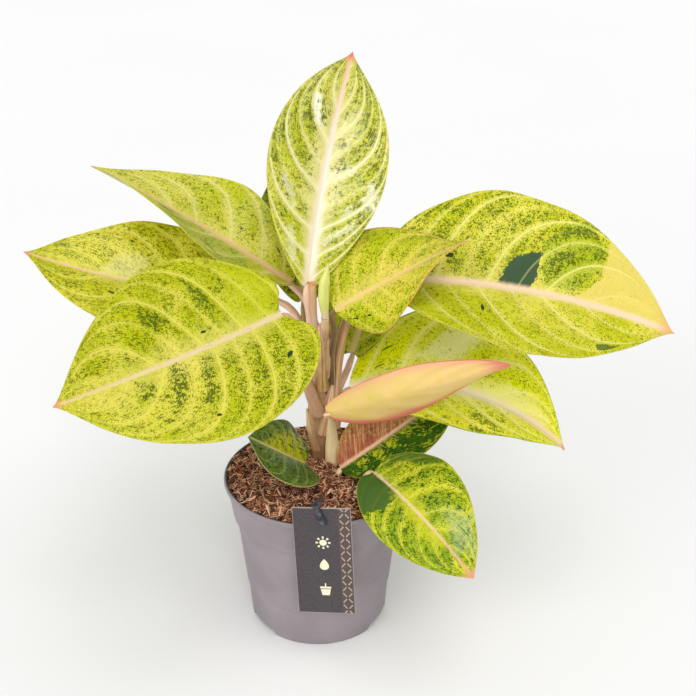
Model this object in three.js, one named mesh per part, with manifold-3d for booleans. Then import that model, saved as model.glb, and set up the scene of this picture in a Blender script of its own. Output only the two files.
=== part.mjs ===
// Potted Chinese evergreen: a nursery pot with soil, a clump of sheathed stems,
// broad pointed leaves on their stalks, and a plain care tag on a pin.
// Millimetres, +Z up. The origin is the centre of the pot's underside.

import * as THREE from 'three';
import * as BufferGeometryUtils from 'three/addons/utils/BufferGeometryUtils.js';
import Module from 'manifold-3d';

const wasm = await Module();
wasm.setup();

// Driving dimensions of the pot
const potHeight = 103.5;
const rimRadius = 60;
const lipHeight = 5;
const bandHeight = 22;
const bandTopRadius = 56.4;
const bandBottomRadius = 54.4;
const bodyTopRadius = 52.6;
const footRadius = 44.8;
const wall = 1.8;
const floorThickness = 4.2;
const footRecess = 2.2;
const padRadius = 14;
const stepHeight = 15;
const stepDepth = 0.7;
const potSides = 48;
const archCount = 3;
const archFirstAngle = -55;
const archSpan = 34;
const archHeight = 4;
const drainCount = 6;
const drainRadius = 3.5;
const drainCircle = 28;

// Soil
const soilLevel = 98;
const moundHeight = 4.5;
const moundRadius = 20;
const soilRoughness = 0.7;
const soilSides = 36;
const seatGap = 0.3;

// Care tag and its pin
const tagWidth = 35.2;
const tagHeight = 77.5;
const tagThickness = 0.9;
const tagCentreX = 5.4;
const tagCentreZ = 79;
const tagYaw = 6;
const tagTilt = 2.3;
const tagHoleRadius = 1.9;
const tagHoleDrop = 6.5;
const tagHoleOffset = -0.6;
const pinThickness = 1.4;

// Leaf blades
const bladeThickness = 0.9;
const midribDepth = 1.5;
const midribShare = 0.055;
const lobeRamp = 0.01;
const lobeFade = 0.2;
const tipReach = 0.05;
const bladeStart = 0.003;
const bladeEnd = 0.995;
const bladeRows = 18;
const bladeColumns = [-1, -0.64, -0.3, -midribShare, midribShare, 0.3, 0.64, 1];
const stalkSides = 8;

// One entry a leaf: base is where the stalk meets the blade, heading turns from +X
// towards +Y, rise is the slope at the base, arch is how far the slope falls by the
// tip, sweep is how far the heading turns by the tip, roll tips the right-hand side
// down, twist adds to the roll by the tip, left and right are the half widths, full
// and taper shape the outline, drip pinches it just before the tip, foldLeft and
// foldRight lift the two halves from the midrib, curl bends their margins down, and
// lobe draws the base corners backward into round lobes.
const leaves = {
  leaf_top: {
    base: [-4, 6, 233.9], heading: 74.8, rise: 63.5, arch: 16.8, sweep: -6.6, roll: 28.7, twist: -2.7,
    length: 147, left: 37.3, right: 37.5, full: 0.98, taper: 1.01, drip: 0.9,
    foldLeft: 13.8, foldRight: 12.6, curl: 5.9, lobe: 0.046, wave: 1.2, waves: 2.6,
  },
  leaf_upper_left: {
    base: [-15.3, 22, 226.2], heading: 166, rise: 31.5, arch: 9.4, sweep: -2.3, roll: -23.6, twist: 42.9,
    length: 143, left: 40.1, right: 43.1, full: 0.99, taper: 1.22, drip: 0.36,
    foldLeft: 17.5, foldRight: 17.2, curl: -7.5, lobe: 0.026, wave: 1, waves: 2.2,
  },
  leaf_far_left: {
    base: [-30.1, 26, 215], heading: 180.6, rise: 2.5, arch: -16.8, sweep: -4.2, roll: -29.2, twist: -2.6,
    length: 153, left: 41.3, right: 43.8, full: 0.89, taper: 1.08, drip: 0.58,
    foldLeft: 13.7, foldRight: 13.6, curl: 6, lobe: 0.02, wave: 1.2, waves: 3.1,
  },
  leaf_front_left: {
    base: [-18.1, -29.1, 229.4], heading: 220.7, rise: -5.9, arch: -2.7, sweep: -5.4, roll: -29.5,
    twist: -23.2, length: 145, left: 60.8, right: 54, full: 0.57, taper: 0.92, drip: 0.88,
    foldLeft: 16.5, foldRight: 10.1, curl: 2, lobe: 0.089, wave: 1.3, waves: 3.3,
  },
  leaf_right: {
    base: [43.1, 9.9, 234.3], heading: 1.7, rise: -0.6, arch: 23.3, sweep: -0.6, roll: 20.7, twist: 40.3,
    length: 185, left: 59.9, right: 55.3, full: 0.6, taper: 1.04, drip: 0.69,
    foldLeft: 16.6, foldRight: 17.8, curl: -3.9, lobe: 0.03, wave: 1.5, waves: 3.4,
  },
  leaf_centre_right: {
    base: [11.5, -0.6, 218.6], heading: 3.4, rise: 31.2, arch: -3.5, sweep: -31.2, roll: 58.6, twist: -65.1,
    length: 97, left: 42.3, right: 30.2, full: 0.74, taper: 1.39, drip: 0.72,
    foldLeft: 7.6, foldRight: 6.4, curl: 15.3, lobe: 0, wave: 0.8, waves: 2.2,
  },
  leaf_lower_right: {
    base: [20.5, 11, 158.9], heading: 5.2, rise: 9.9, arch: 58.1, sweep: -6.8, roll: 23.1, twist: 4.7,
    length: 156, left: 57.6, right: 37.2, full: 0.78, taper: 1.11, drip: 0.66,
    foldLeft: 13.2, foldRight: 14.8, curl: 1.3, lobe: 0, wave: 1.2, waves: 2.8,
  },
  leaf_rear_right: {
    base: [22.4, 32, 173.2], heading: 70, rise: 38, arch: 24, sweep: 0, roll: -8, twist: 0,
    length: 92, left: 30, right: 23, full: 0.6, taper: 0.95, drip: 0.5,
    foldLeft: 13, foldRight: 15, curl: 6, lobe: 0.07, wave: 0.9, waves: 2.4,
  },
  leaf_young: {
    base: [8, -31, 165], heading: -17.1, rise: 22.2, arch: 2.1, sweep: 14.7, roll: -78.3, twist: 39.2,
    length: 114, left: 33.6, right: 17.1, full: 0.63, taper: 0.54, drip: 0.37,
    foldLeft: 16.4, foldRight: 27.9, curl: -0.8, lobe: 0.037, wave: 0.4, waves: 1.5,
  },
  leaf_folded: {
    base: [15, 1, 106], heading: 10, rise: 33.3, arch: 1, sweep: 9, roll: 16, twist: 6,
    length: 92, left: 25, right: 31, full: 0.62, taper: 0.72, drip: 0.3,
    foldLeft: 45, foldRight: 12, curl: 8, lobe: 0.01, wave: 0.6, waves: 2.1,
  },
  leaf_bottom_right: {
    base: [35.8, -25, 119.2], heading: -56.6, rise: 0.1, arch: 30.4, sweep: 7.9, roll: 19.5, twist: 26.4,
    length: 97, left: 33.6, right: 28.3, full: 0.59, taper: 0.85, drip: 0.35,
    foldLeft: 14, foldRight: 13.6, curl: 4.8, lobe: 0.045, wave: 0.9, waves: 2.7,
  },
  leaf_soil_left: {
    base: [-7.9, 8, 104.8], heading: 200.7, rise: 36.7, arch: -0.4, sweep: 0.4, roll: -10.7, twist: -32.6,
    length: 47, left: 34, right: 24.3, full: 0.45, taper: 0.87, drip: 0.33,
    foldLeft: 16.3, foldRight: 14.9, curl: 1.8, lobe: 0.12, wave: 0.5, waves: 2.3,
  },
  leaf_back: {
    base: [-8, 28, 212], heading: 92, rise: 42, arch: 12, sweep: 0, roll: 0, twist: 0,
    length: 116, left: 30, right: 30, full: 0.8, taper: 1, drip: 0.5,
    foldLeft: 13, foldRight: 13, curl: 6, lobe: 0.04, wave: 1, waves: 2.5,
  },
};

// Stalks of the upper leaves. Each path runs from inside the stem up to the blade, and
// girths are the radii along it, from the wide sheath to the neck.
const neckRadius = 2.3;
const neckLength = 7;
const neckGap = 0.35;
const stalks = {
  leaf_top: { path: [[3, 12, 168], [1, 10, 196], [-2, 7, 216]], girths: [4.8, 4.4, 3.4] },
  leaf_upper_left: { path: [[1, 14, 172], [-2, 16, 196], [-6, 19, 215]], girths: [4.4, 3.6, 2.9] },
  leaf_far_left: { path: [[0, 16, 160], [-5, 20, 186], [-14, 24, 206]], girths: [4.6, 3.6, 2.9] },
  leaf_front_left: { path: [[2, 12, 142], [-4, 3, 164], [-9, -8, 188]], girths: [5.4, 4.6, 3.2] },
  leaf_right: {
    path: [[10, 12, 152], [13, 13, 180], [19, 14, 204], [29, 12, 223]], girths: [4.4, 4.4, 3.8, 3.2],
  },
  leaf_centre_right: {
    path: [[8, 10, 156], [9, 8, 182], [11.5, 6, 202]], girths: [4.2, 3.8, 2.8], neck: 3,
  },
  leaf_lower_right: {
    path: [[11, 14, 130], [13, 13, 139], [15.5, 12, 147]], girths: [4.0, 3.6, 3.0], neck: 4,
  },
  leaf_rear_right: { path: [[8, 18, 134], [12, 24, 147], [18, 30, 159]], girths: [4.2, 3.4, 2.9] },
  leaf_back: { path: [[2, 18, 168], [-3, 21, 188], [-7, 23, 200]], girths: [4.2, 3.4, 2.8] },
};

// Main stem with its sheaths, the cut stub and the socket of the furled leaf
const stemPath = [[1, 19, 78], [1, 19, 104], [0, 17, 130], [1, 15, 150], [5, 12, 178], [4, 9, 203]];
const stemGirths = [4.2, 4.8, 5.6, 6.8, 6.2, 4.2];
const stemSheaths = [
  { path: [[1, 18, 112], [-2, 16, 127], [-6, 14, 142]], girths: [5.2, 5.0, 1.2] },
  { path: [[3, 16, 126], [6, 12, 142], [11, 9, 163]], girths: [5.6, 5.4, 1.2] },
  { path: [[5, 12, 168], [4, 7, 190], [3, 4, 206]], girths: [5.0, 4.0, 1.2] },
];
const cutStub = { path: [[0, 9, 196], [-1, 4, 216], [-1.3, 2, 235]], girths: [2.6, 2.0, 1.9] };
const spearSocket = { path: [[5, 8, 196], [6, 3, 207], [6.2, 0, 213]], girths: [3.2, 2.8, 2.2] };

// Furled leaf, the front shoot, and the short stalks that stand in the soil
const spear = {
  path: [[6.2, 0, 214], [5.4, -1, 222], [5.6, -1.5, 233], [8.2, -2, 249.5]],
  girths: [2.0, 3.3, 3.2, 0.4],
};
const shootPath = [[9.5, 13, 80], [9.5, 13, 104], [9.5, 8, 126], [9, -8, 148]];
const shootGirths = [3.8, 4.2, 4.2, 3.4];
const lowStalks = {
  leaf_folded: { path: [[13, -1, 82], [13, -1, 97]], girths: [2.6, 2.6], neck: 3 },
  leaf_bottom_right: {
    path: [[25, -21, 82], [25, -21, 99], [29, -22, 110]], girths: [2.4, 2.4, 2.2], neck: 5,
  },
  leaf_soil_left: { path: [[-3, 6, 82], [-3, 6, 98]], girths: [2.2, 2.2], neck: 3 },
};

// Materials
const finish = (color, roughness) => new THREE.MeshStandardMaterial({ color, roughness, metalness: 0 });
const potPlastic = finish(0x8a8186, 0.55);
const peat = finish(0x5a3a2a, 1.0);
const stemSkin = finish(0xd8b490, 0.5);
const paleShoot = finish(0xe4cfa6, 0.5);
const leafGreen = finish(0xb9c53c, 0.4);
const leafDark = finish(0x4f7a2c, 0.4);
const leafPeach = finish(0xe8b878, 0.45);
const spearGreen = finish(0xe0e48a, 0.45);
const tagCard = finish(0x4c4648, 0.7);
const pinPlastic = finish(0x3c4450, 0.45);

const radians = THREE.MathUtils.degToRad;
const vector = (p) => new THREE.Vector3(...p);

// Makes an indexed solid from points and triangles, and turns it if it is inside out.
function closedSolid(points, triangles) {
  let volume = 0;
  for (const [a, b, c] of triangles) {
    volume += points[a].dot(new THREE.Vector3().crossVectors(points[b], points[c]));
  }
  const ordered = volume < 0 ? triangles.map(([a, b, c]) => [a, c, b]) : triangles;
  const geometry = new THREE.BufferGeometry();
  const position = new Float32Array(points.flatMap((p) => [p.x, p.y, p.z]));
  geometry.setAttribute('position', new THREE.BufferAttribute(position, 3));
  geometry.setIndex(ordered.flat());
  return geometry;
}

// Turns a closed geometry into a solid that can be joined or cut.
function toSolid(source) {
  const bare = source.clone();
  bare.deleteAttribute('normal');
  bare.deleteAttribute('uv');
  const merged = BufferGeometryUtils.mergeVertices(bare, 1e-4);
  return new wasm.Manifold(new wasm.Mesh({
    numProp: 3,
    vertProperties: new Float32Array(merged.attributes.position.array),
    triVerts: new Uint32Array(merged.index.array),
  }));
}

// Turns a joined or cut solid back into a geometry.
function toGeometry(solid) {
  const mesh = solid.getMesh();
  const geometry = new THREE.BufferGeometry();
  const position = new Float32Array(mesh.vertProperties);
  geometry.setAttribute('position', new THREE.BufferAttribute(position, 3));
  geometry.setIndex([...mesh.triVerts]);
  return geometry;
}

// Joins the solids of a list into one.
function joined(solids) {
  return solids.reduce((whole, solid) => whole.add(solid));
}

// Skins a stack of rings, each with the same number of points, and closes both ends.
function skinned(rings) {
  const sides = rings[0].length;
  const points = rings.flat();
  const triangles = [];
  for (let i = 0; i < rings.length - 1; i += 1) {
    for (let k = 0; k < sides; k += 1) {
      const a = i * sides + k;
      const b = i * sides + (k + 1) % sides;
      triangles.push([a, b, b + sides], [a, b + sides, a + sides]);
    }
  }
  const ends = [[rings[0], 0, true], [rings.at(-1), points.length - sides, false]];
  for (const [ring, first, turn] of ends) {
    const centre = ring.reduce((sum, p) => sum.add(p), new THREE.Vector3()).divideScalar(sides);
    const hub = points.push(centre) - 1;
    for (let k = 0; k < sides; k += 1) {
      const a = first + k;
      const b = first + (k + 1) % sides;
      triangles.push(turn ? [hub, b, a] : [hub, a, b]);
    }
  }
  return closedSolid(points, triangles);
}

// A round rod along a smooth path through the points, with a radius at each of them.
// Grow adds to the radius and to both ends, which are square to the path.
function rod(path, girths, { sides = stalkSides, grow = 0, stepsEach = 2 } = {}) {
  const curve = new THREE.CatmullRomCurve3(path.map(vector), false, 'centripetal');
  const steps = (path.length - 1) * stepsEach;
  const frames = curve.computeFrenetFrames(steps);
  const rings = [];
  const ends = [path[0], path.at(-1)].map(vector);
  const outward = [ends[0].clone().sub(vector(path[1])), ends[1].clone().sub(vector(path.at(-2)))];
  for (let i = 0; i <= steps; i += 1) {
    const t = i / steps;
    const centre = curve.getPointAt(t);
    if (i === 0 || i === steps) {
      const ahead = outward[i === 0 ? 0 : 1].normalize();
      centre.addScaledVector(ahead, grow);
      frames.normals[i].projectOnPlane(ahead).normalize();
      frames.binormals[i].crossVectors(ahead, frames.normals[i]).multiplyScalar(i === 0 ? -1 : 1);
    }
    const place = t * (girths.length - 1);
    const low = Math.min(Math.floor(place), girths.length - 2);
    const radius = THREE.MathUtils.lerp(girths[low], girths[low + 1], place - low) + grow;
    const ring = [];
    for (let k = 0; k < sides; k += 1) {
      const angle = (k / sides) * 2 * Math.PI;
      const across = frames.normals[i].clone().multiplyScalar(Math.cos(angle) * radius);
      const along = frames.binormals[i].clone().multiplyScalar(Math.sin(angle) * radius);
      ring.push(centre.clone().add(across).add(along));
    }
    rings.push(ring);
  }
  return skinned(rings);
}

// Direction of the midrib at share u of its length.
function midribDirection(leaf, u) {
  const heading = radians(leaf.heading + leaf.sweep * u);
  const rise = radians(leaf.rise - leaf.arch * u);
  return new THREE.Vector3(
    Math.cos(rise) * Math.cos(heading),
    Math.cos(rise) * Math.sin(heading),
    Math.sin(rise),
  );
}

// Midrib point at share u: the direction summed in short steps from the base.
function midribPoint(leaf, u) {
  const steps = 40;
  const point = vector(leaf.base);
  for (let i = 0; i < steps; i += 1) {
    point.addScaledVector(midribDirection(leaf, (u * (i + 0.5)) / steps), (leaf.length * u) / steps);
  }
  return point;
}

// Half-width share at u: zero at base and tip and one at the widest place.
function outline(leaf, u) {
  const widest = leaf.full / (leaf.full + leaf.taper);
  const scale = widest ** leaf.full * (1 - widest) ** leaf.taper;
  const pinch = 1 - leaf.drip * Math.exp(-(1 - u) / tipReach);
  return ((u ** leaf.full * (1 - u) ** leaf.taper) / scale) * pinch;
}

// Point of the blade's middle surface at u along and v across, v from -1 to 1.
function bladePoint(leaf, u, v) {
  const ahead = midribDirection(leaf, u);
  const heading = radians(leaf.heading + leaf.sweep * u);
  const level = new THREE.Vector3(Math.sin(heading), -Math.cos(heading), 0);
  const upright = new THREE.Vector3().crossVectors(level, ahead);
  const roll = radians(leaf.roll + leaf.twist * u);
  const side = level.clone().multiplyScalar(Math.cos(roll)).addScaledVector(upright, -Math.sin(roll));
  const face = upright.clone().multiplyScalar(Math.cos(roll)).addScaledVector(level, Math.sin(roll));
  const reach = Math.abs(v);
  const halfWidth = (v < 0 ? leaf.left : leaf.right) * outline(leaf, u);
  const lift = radians((v < 0 ? leaf.foldLeft : leaf.foldRight) - (leaf.curl * reach) / 2);
  const ripple = leaf.wave * outline(leaf, u) * reach ** 3
    * Math.sin(2 * Math.PI * leaf.waves * u + (v < 0 ? 0.8 : 2.4));
  const past = Math.max(u - bladeStart, 0);
  const back = leaf.lobe * leaf.length * reach ** 1.5
    * Math.exp(-((u / lobeFade) ** 2)) * (1 - Math.exp(-past / lobeRamp));
  return midribPoint(leaf, u)
    .addScaledVector(side, halfWidth * v * Math.cos(lift))
    .addScaledVector(face, halfWidth * reach * Math.sin(lift) + ripple)
    .addScaledVector(ahead, -back);
}

// Unit normal of the blade's upper face at u, v, from two short steps on the surface.
function bladeNormal(leaf, u, v) {
  const step = 0.0025;
  const along = bladePoint(leaf, u + step, v).sub(bladePoint(leaf, u - step, v));
  const across = bladePoint(leaf, u, v + step).sub(bladePoint(leaf, u, v - step));
  return across.cross(along).normalize();
}

// A thin closed blade: an upper and a lower sheet split into triangles alike, with
// the midrib standing out of the lower one, and a narrow wall round the margin.
function blade(leaf) {
  const columns = bladeColumns.length;
  const upper = [];
  const lower = [];
  for (let i = 0; i < bladeRows; i += 1) {
    const t = i / (bladeRows - 1);
    const eased = 0.6 * t + 0.4 * (0.5 - 0.5 * Math.cos(Math.PI * t));
    const u = bladeStart + (bladeEnd - bladeStart) * eased;
    for (const v of bladeColumns) {
      const middle = bladePoint(leaf, u, v);
      const normal = bladeNormal(leaf, u, v);
      const rib = Math.abs(v) <= midribShare ? midribDepth * (1 - u) : 0;
      upper.push(middle.clone().addScaledVector(normal, bladeThickness / 2));
      lower.push(middle.clone().addScaledVector(normal, -bladeThickness / 2 - rib));
    }
  }
  const points = [...upper, ...lower];
  const under = upper.length;
  const triangles = [];
  for (let i = 0; i < bladeRows - 1; i += 1) {
    for (let k = 0; k < columns - 1; k += 1) {
      const a = i * columns + k;
      const b = a + 1;
      const c = a + columns + 1;
      const d = a + columns;
      triangles.push([a, b, c], [a, c, d]);
      triangles.push([under + a, under + c, under + b], [under + a, under + d, under + c]);
    }
  }
  const border = [];
  for (let k = 0; k < columns - 1; k += 1) border.push(k);
  for (let i = 0; i < bladeRows - 1; i += 1) border.push(i * columns + columns - 1);
  for (let k = columns - 1; k > 0; k -= 1) border.push((bladeRows - 1) * columns + k);
  for (let i = bladeRows - 1; i > 0; i -= 1) border.push(i * columns);
  border.forEach((a, index) => {
    const b = border[(index + 1) % border.length];
    triangles.push([b, a, under + a], [b, under + a, under + b]);
  });
  return closedSolid(points, triangles);
}

// A leaf stalk: its own path, then a neck that ends just short of the blade and comes
// in halfway between the stalk's own direction and that of the midrib.
function stalk(leaf, { path, girths, neck = neckLength }, options) {
  const ahead = midribDirection(leaf, 0);
  const start = vector(leaf.base).addScaledVector(ahead, bladeStart * leaf.length);
  const entry = start.clone().sub(vector(path.at(-1))).normalize().add(ahead).normalize();
  const tilt = entry.angleTo(ahead);
  const drawnBack = neckGap / Math.cos(tilt) + neckRadius * Math.tan(tilt);
  const end = start.clone().addScaledVector(entry, -drawnBack);
  const before = end.clone().addScaledVector(entry, -neck);
  return rod([...path, before.toArray(), end.toArray()], [...girths, neckRadius, neckRadius], options);
}

// Pot: a turned shell with a lip, a band below it, a tapering body with a step line
// near the base, and a recessed underside round a central pad.
const bandBottom = potHeight - lipHeight - bandHeight;
const bodySlope = (bodyTopRadius - footRadius) / bandBottom;
const bodyRadiusAt = (z) => footRadius + bodySlope * z;

function pot() {
  const lipBottom = potHeight - lipHeight;
  const innerAt = (z) => bodyRadiusAt(z) - wall;
  const profile = [
    [0, 0],
    [padRadius, 0],
    [padRadius + 2, footRecess],
    [footRadius - 4.5, footRecess],
    [footRadius - 3.4, 0],
    [footRadius - 0.6, 0],
    [footRadius, 0.7],
    [bodyRadiusAt(stepHeight) - stepDepth, stepHeight],
    [bodyRadiusAt(stepHeight) + 0.1, stepHeight + 0.8],
    [bodyTopRadius, bandBottom],
    [bandBottomRadius - 0.3, bandBottom + 0.2],
    [bandBottomRadius, bandBottom + 1],
    [bandTopRadius, lipBottom - 0.8],
    [rimRadius - 0.6, lipBottom],
    [rimRadius, lipBottom + 0.9],
    [rimRadius, potHeight - 1],
    [rimRadius - 0.8, potHeight],
    [rimRadius - 2.2, potHeight - 0.2],
    [bandTopRadius - wall, lipBottom - 1.2],
    [bandBottomRadius - wall, bandBottom + 1.4],
    [innerAt(bandBottom - 1), bandBottom - 1],
    [innerAt(floorThickness), floorThickness],
    [0, floorThickness],
  ];
  const shell = new THREE.LatheGeometry(profile.map(([r, z]) => new THREE.Vector2(r, z)), potSides);
  shell.rotateX(Math.PI / 2);
  let solid = toSolid(shell);
  for (let i = 0; i < archCount; i += 1) {
    const centre = radians(archFirstAngle - 90 + (360 / archCount) * i);
    solid = solid.subtract(toSolid(footArch(centre)));
  }
  for (let i = 0; i < drainCount; i += 1) {
    const angle = (2 * Math.PI * (i + 0.5)) / drainCount;
    const drain = new THREE.CylinderGeometry(drainRadius, drainRadius, 3 * floorThickness, 16);
    drain.rotateX(Math.PI / 2);
    drain.translate(drainCircle * Math.cos(angle), drainCircle * Math.sin(angle), floorThickness / 2);
    solid = solid.subtract(toSolid(drain));
  }
  return toGeometry(solid);
}

// The space under one raised arch of the foot: a wedge of a ring.
function footArch(centre) {
  const half = radians(archSpan) / 2;
  const shape = new THREE.Shape();
  shape.absarc(0, 0, footRadius + 6, centre - half, centre + half, false);
  shape.absarc(0, 0, footRadius - 4.4, centre + half, centre - half, true);
  shape.closePath();
  const wedge = new THREE.ExtrudeGeometry(shape, {
    depth: archHeight + 1, bevelEnabled: false, curveSegments: 6,
  });
  wedge.translate(0, 0, -1);
  return wedge;
}

// Soil: fills the pot, a little uneven on top, mounded where the stems stand.
function soilTop(x, y) {
  const mound = moundHeight * Math.exp(-((x - 4) ** 2 + (y - 8) ** 2) / (2 * moundRadius ** 2));
  const rough = Math.sin(0.31 * x + 1.1) * Math.cos(0.27 * y - 0.6) + 0.6 * Math.sin(0.63 * x - 0.48 * y);
  return soilLevel + mound + soilRoughness * rough;
}

function soil() {
  const clear = wall + seatGap + 0.1;
  const inside = [
    [bodyRadiusAt(floorThickness) - clear, floorThickness + seatGap],
    [bodyRadiusAt(bandBottom - 1) - clear, bandBottom - 1],
    [bandBottomRadius - clear, bandBottom + 1.4],
  ];
  const edgeShare = (soilLevel - bandBottom) / (potHeight - lipHeight - bandBottom);
  const edge = THREE.MathUtils.lerp(bandBottomRadius, bandTopRadius, edgeShare) - clear - 0.2;
  const spread = [1, 0.93, 0.84, 0.74, 0.63, 0.51, 0.38, 0.24, 0.1];
  const ringAt = (radius, height) => Array.from({ length: soilSides }, (_, k) => {
    const angle = (2 * Math.PI * k) / soilSides;
    const x = radius * Math.cos(angle);
    const y = radius * Math.sin(angle);
    return new THREE.Vector3(x, y, height ?? soilTop(x, y) - (radius > 0.99 * edge ? 1.2 : 0));
  });
  const rings = [
    ...inside.map(([radius, height]) => ringAt(radius, height)),
    ...spread.map((share) => ringAt(edge * share)),
  ];
  return skinned(rings);
}

// Main stem with its sheaths, the stalks that leave it and the cut stub, all grown
// together.
function stems() {
  const parts = [rod(stemPath, stemGirths, { sides: 14 })];
  for (const { path, girths } of [...stemSheaths, cutStub, spearSocket]) parts.push(rod(path, girths));
  for (const [name, shape] of Object.entries(stalks)) parts.push(stalk(leaves[name], shape));
  return joined(parts.map(toSolid));
}

// Front shoot that carries the young leaf.
function frontShoot(options) {
  return stalk(leaves.leaf_young, { path: shootPath, girths: shootGirths }, options);
}

// Tag: a plain card that leans on the rim, with a punched hole for its pin.
const tagFrame = new THREE.Group();
const tagTouch = rimRadius + seatGap + tagThickness / 2;
tagFrame.rotation.set(0, radians(-tagTilt), radians(-tagYaw), 'ZYX');
tagFrame.position.set(
  tagCentreX,
  -tagTouch / Math.cos(radians(tagYaw)) - tagCentreX * Math.tan(radians(tagYaw)),
  tagCentreZ,
);

function tag() {
  const card = new THREE.BoxGeometry(tagWidth, tagThickness, tagHeight);
  const punch = new THREE.CylinderGeometry(tagHoleRadius, tagHoleRadius, 4 * tagThickness, 20);
  punch.translate(tagHoleOffset, 0, tagHeight / 2 - tagHoleDrop);
  return toSolid(card).subtract(toSolid(punch));
}

// Pin: a flat strap hooked over the top edge of the tag, with a peg in the tag's
// hole, and a tapering spike that runs back over the rim into the soil.
function pin(grow = 0) {
  const top = tagHeight / 2;
  const out = tagThickness / 2 + seatGap + pinThickness / 2;
  const hole = top - tagHoleDrop;
  const hook = [
    [tagHoleOffset + 1.6, -out, hole - 4],
    [tagHoleOffset, -out, hole],
    [-2, -out, top - 0.6],
    [-2.6, -out * 0.88, top + 1.4],
    [-2.8, 0, top + 1.7],
    [-3, out, top + 1.4],
    [-3.2, out + 5, top - 1.4],
    [-3.6, 24, hole - 3],
    [-4.4, 42, hole - 13],
  ];
  const half = [1.6, 2.1, 1.7, 1.7, 1.7, 1.9, 2.4, 1.6, 0.5];
  const rings = hook.map(([x, y, z], i) => {
    const before = hook[Math.max(i - 1, 0)];
    const after = hook[Math.min(i + 1, hook.length - 1)];
    const run = new THREE.Vector2(after[1] - before[1], after[2] - before[2]).normalize();
    const thick = pinThickness / 2 + grow;
    const wide = half[i] + grow;
    const longer = i === hook.length - 1 ? grow : 0;
    const corner = (a, b) => new THREE.Vector3(
      x + a * wide,
      y - run.y * b * thick + run.x * longer,
      z + run.x * b * thick + run.y * longer,
    );
    return [corner(-1, -0.5), corner(-0.6, -1), corner(0.6, -1), corner(1, -0.5),
      corner(1, 0.5), corner(0.6, 1), corner(-0.6, 1), corner(-1, 0.5)];
  });
  const strap = skinned(rings);
  const peg = new THREE.CylinderGeometry(1.2 + grow, 1.2 + grow, out + 0.2, 12);
  peg.translate(tagHoleOffset, -out / 2 + 0.1, hole);
  return toSolid(strap).add(toSolid(peg));
}

// Places a solid's geometry in the tag's leaning frame.
function inTagFrame(solid) {
  tagFrame.updateMatrix();
  return toGeometry(solid).applyMatrix4(tagFrame.matrix);
}

// Builds one named mesh.
function part(name, geometry, material) {
  const mesh = new THREE.Mesh(geometry, material);
  mesh.name = name;
  return mesh;
}

const group = new THREE.Group();

group.add(part('pot', pot(), potPlastic));

// Holes in the soil, each a little wider than what stands in it
const soilCuts = [
  rod(stemPath, stemGirths, { sides: 14, grow: seatGap + 0.2 }),
  frontShoot({ grow: seatGap + 0.2 }),
  ...Object.entries(lowStalks).map(([name, shape]) => (
    stalk(leaves[name], shape, { grow: seatGap + 0.2 })
  )),
  inTagFrame(pin(seatGap)),
];
const soilSolid = soilCuts.reduce((left, cut) => left.subtract(toSolid(cut)), toSolid(soil()));
group.add(part('soil', toGeometry(soilSolid), peat));

group.add(part('stems', toGeometry(stems()), stemSkin));
group.add(part('front_shoot', frontShoot(), paleShoot));
for (const [name, shape] of Object.entries(lowStalks)) {
  group.add(part(name.replace('leaf', 'stalk'), stalk(leaves[name], shape), paleShoot));
}

const bladeMaterials = {
  leaf_young: leafPeach, leaf_folded: leafDark, leaf_soil_left: leafDark, leaf_bottom_right: leafDark,
};
for (const [name, leaf] of Object.entries(leaves)) {
  group.add(part(name, blade(leaf), bladeMaterials[name] ?? leafGreen));
}
group.add(part('spear_leaf', rod(spear.path, spear.girths), spearGreen));

group.add(part('tag', inTagFrame(tag()), tagCard));
group.add(part('tag_pin', inTagFrame(pin()), pinPlastic));

export default group;
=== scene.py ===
import math

import bpy
import numpy as np
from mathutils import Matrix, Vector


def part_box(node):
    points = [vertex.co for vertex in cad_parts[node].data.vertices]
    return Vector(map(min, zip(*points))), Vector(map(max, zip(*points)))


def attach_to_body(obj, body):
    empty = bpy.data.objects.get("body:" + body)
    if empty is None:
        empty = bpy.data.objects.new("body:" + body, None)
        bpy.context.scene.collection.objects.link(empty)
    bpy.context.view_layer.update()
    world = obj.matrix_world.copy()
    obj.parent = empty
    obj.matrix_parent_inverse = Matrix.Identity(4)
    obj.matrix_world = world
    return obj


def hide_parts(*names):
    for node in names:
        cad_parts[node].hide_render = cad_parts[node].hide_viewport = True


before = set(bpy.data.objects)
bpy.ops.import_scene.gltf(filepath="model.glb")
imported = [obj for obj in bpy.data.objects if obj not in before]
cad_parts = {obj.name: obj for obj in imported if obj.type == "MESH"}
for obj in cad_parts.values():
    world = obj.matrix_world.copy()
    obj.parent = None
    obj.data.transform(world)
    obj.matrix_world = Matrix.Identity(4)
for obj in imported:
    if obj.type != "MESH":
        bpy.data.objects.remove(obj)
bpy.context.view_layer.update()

# Nursery pot: one moulded shell of matt grey plastic with a lip, a stacking band, a
# tapering body with a step near the base, and a foot ring that low arches open.
pot_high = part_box("pot")[1]
rim_radius = pot_high.x
pot_height = pot_high.z
lip_height = 0.005
band_height = 0.022
band_top_radius = 0.0564
band_bottom_radius = 0.0544
body_top_radius = 0.0526
foot_radius = 0.0448
pot_wall = 0.0018
pot_floor = 0.0042
foot_recess = 0.0022
pad_radius = 0.014
step_height = 0.026
step_depth = 0.0007
foot_width = 0.0045
pot_rounding = 0.0007
pot_sides = 240
arch_count = 3
arch_first = math.radians(-55 - 90)
arch_half = math.radians(17)
arch_height = 0.004
arch_slope = 0.02
drain_count = 6
drain_radius = 0.0035
drain_circle = 0.028
mid_wall_heights = (0.0, 0.0755, 0.098, pot_height)
mid_wall_radii = (0.0438, 0.0518, 0.0552, 0.0588)


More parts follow.
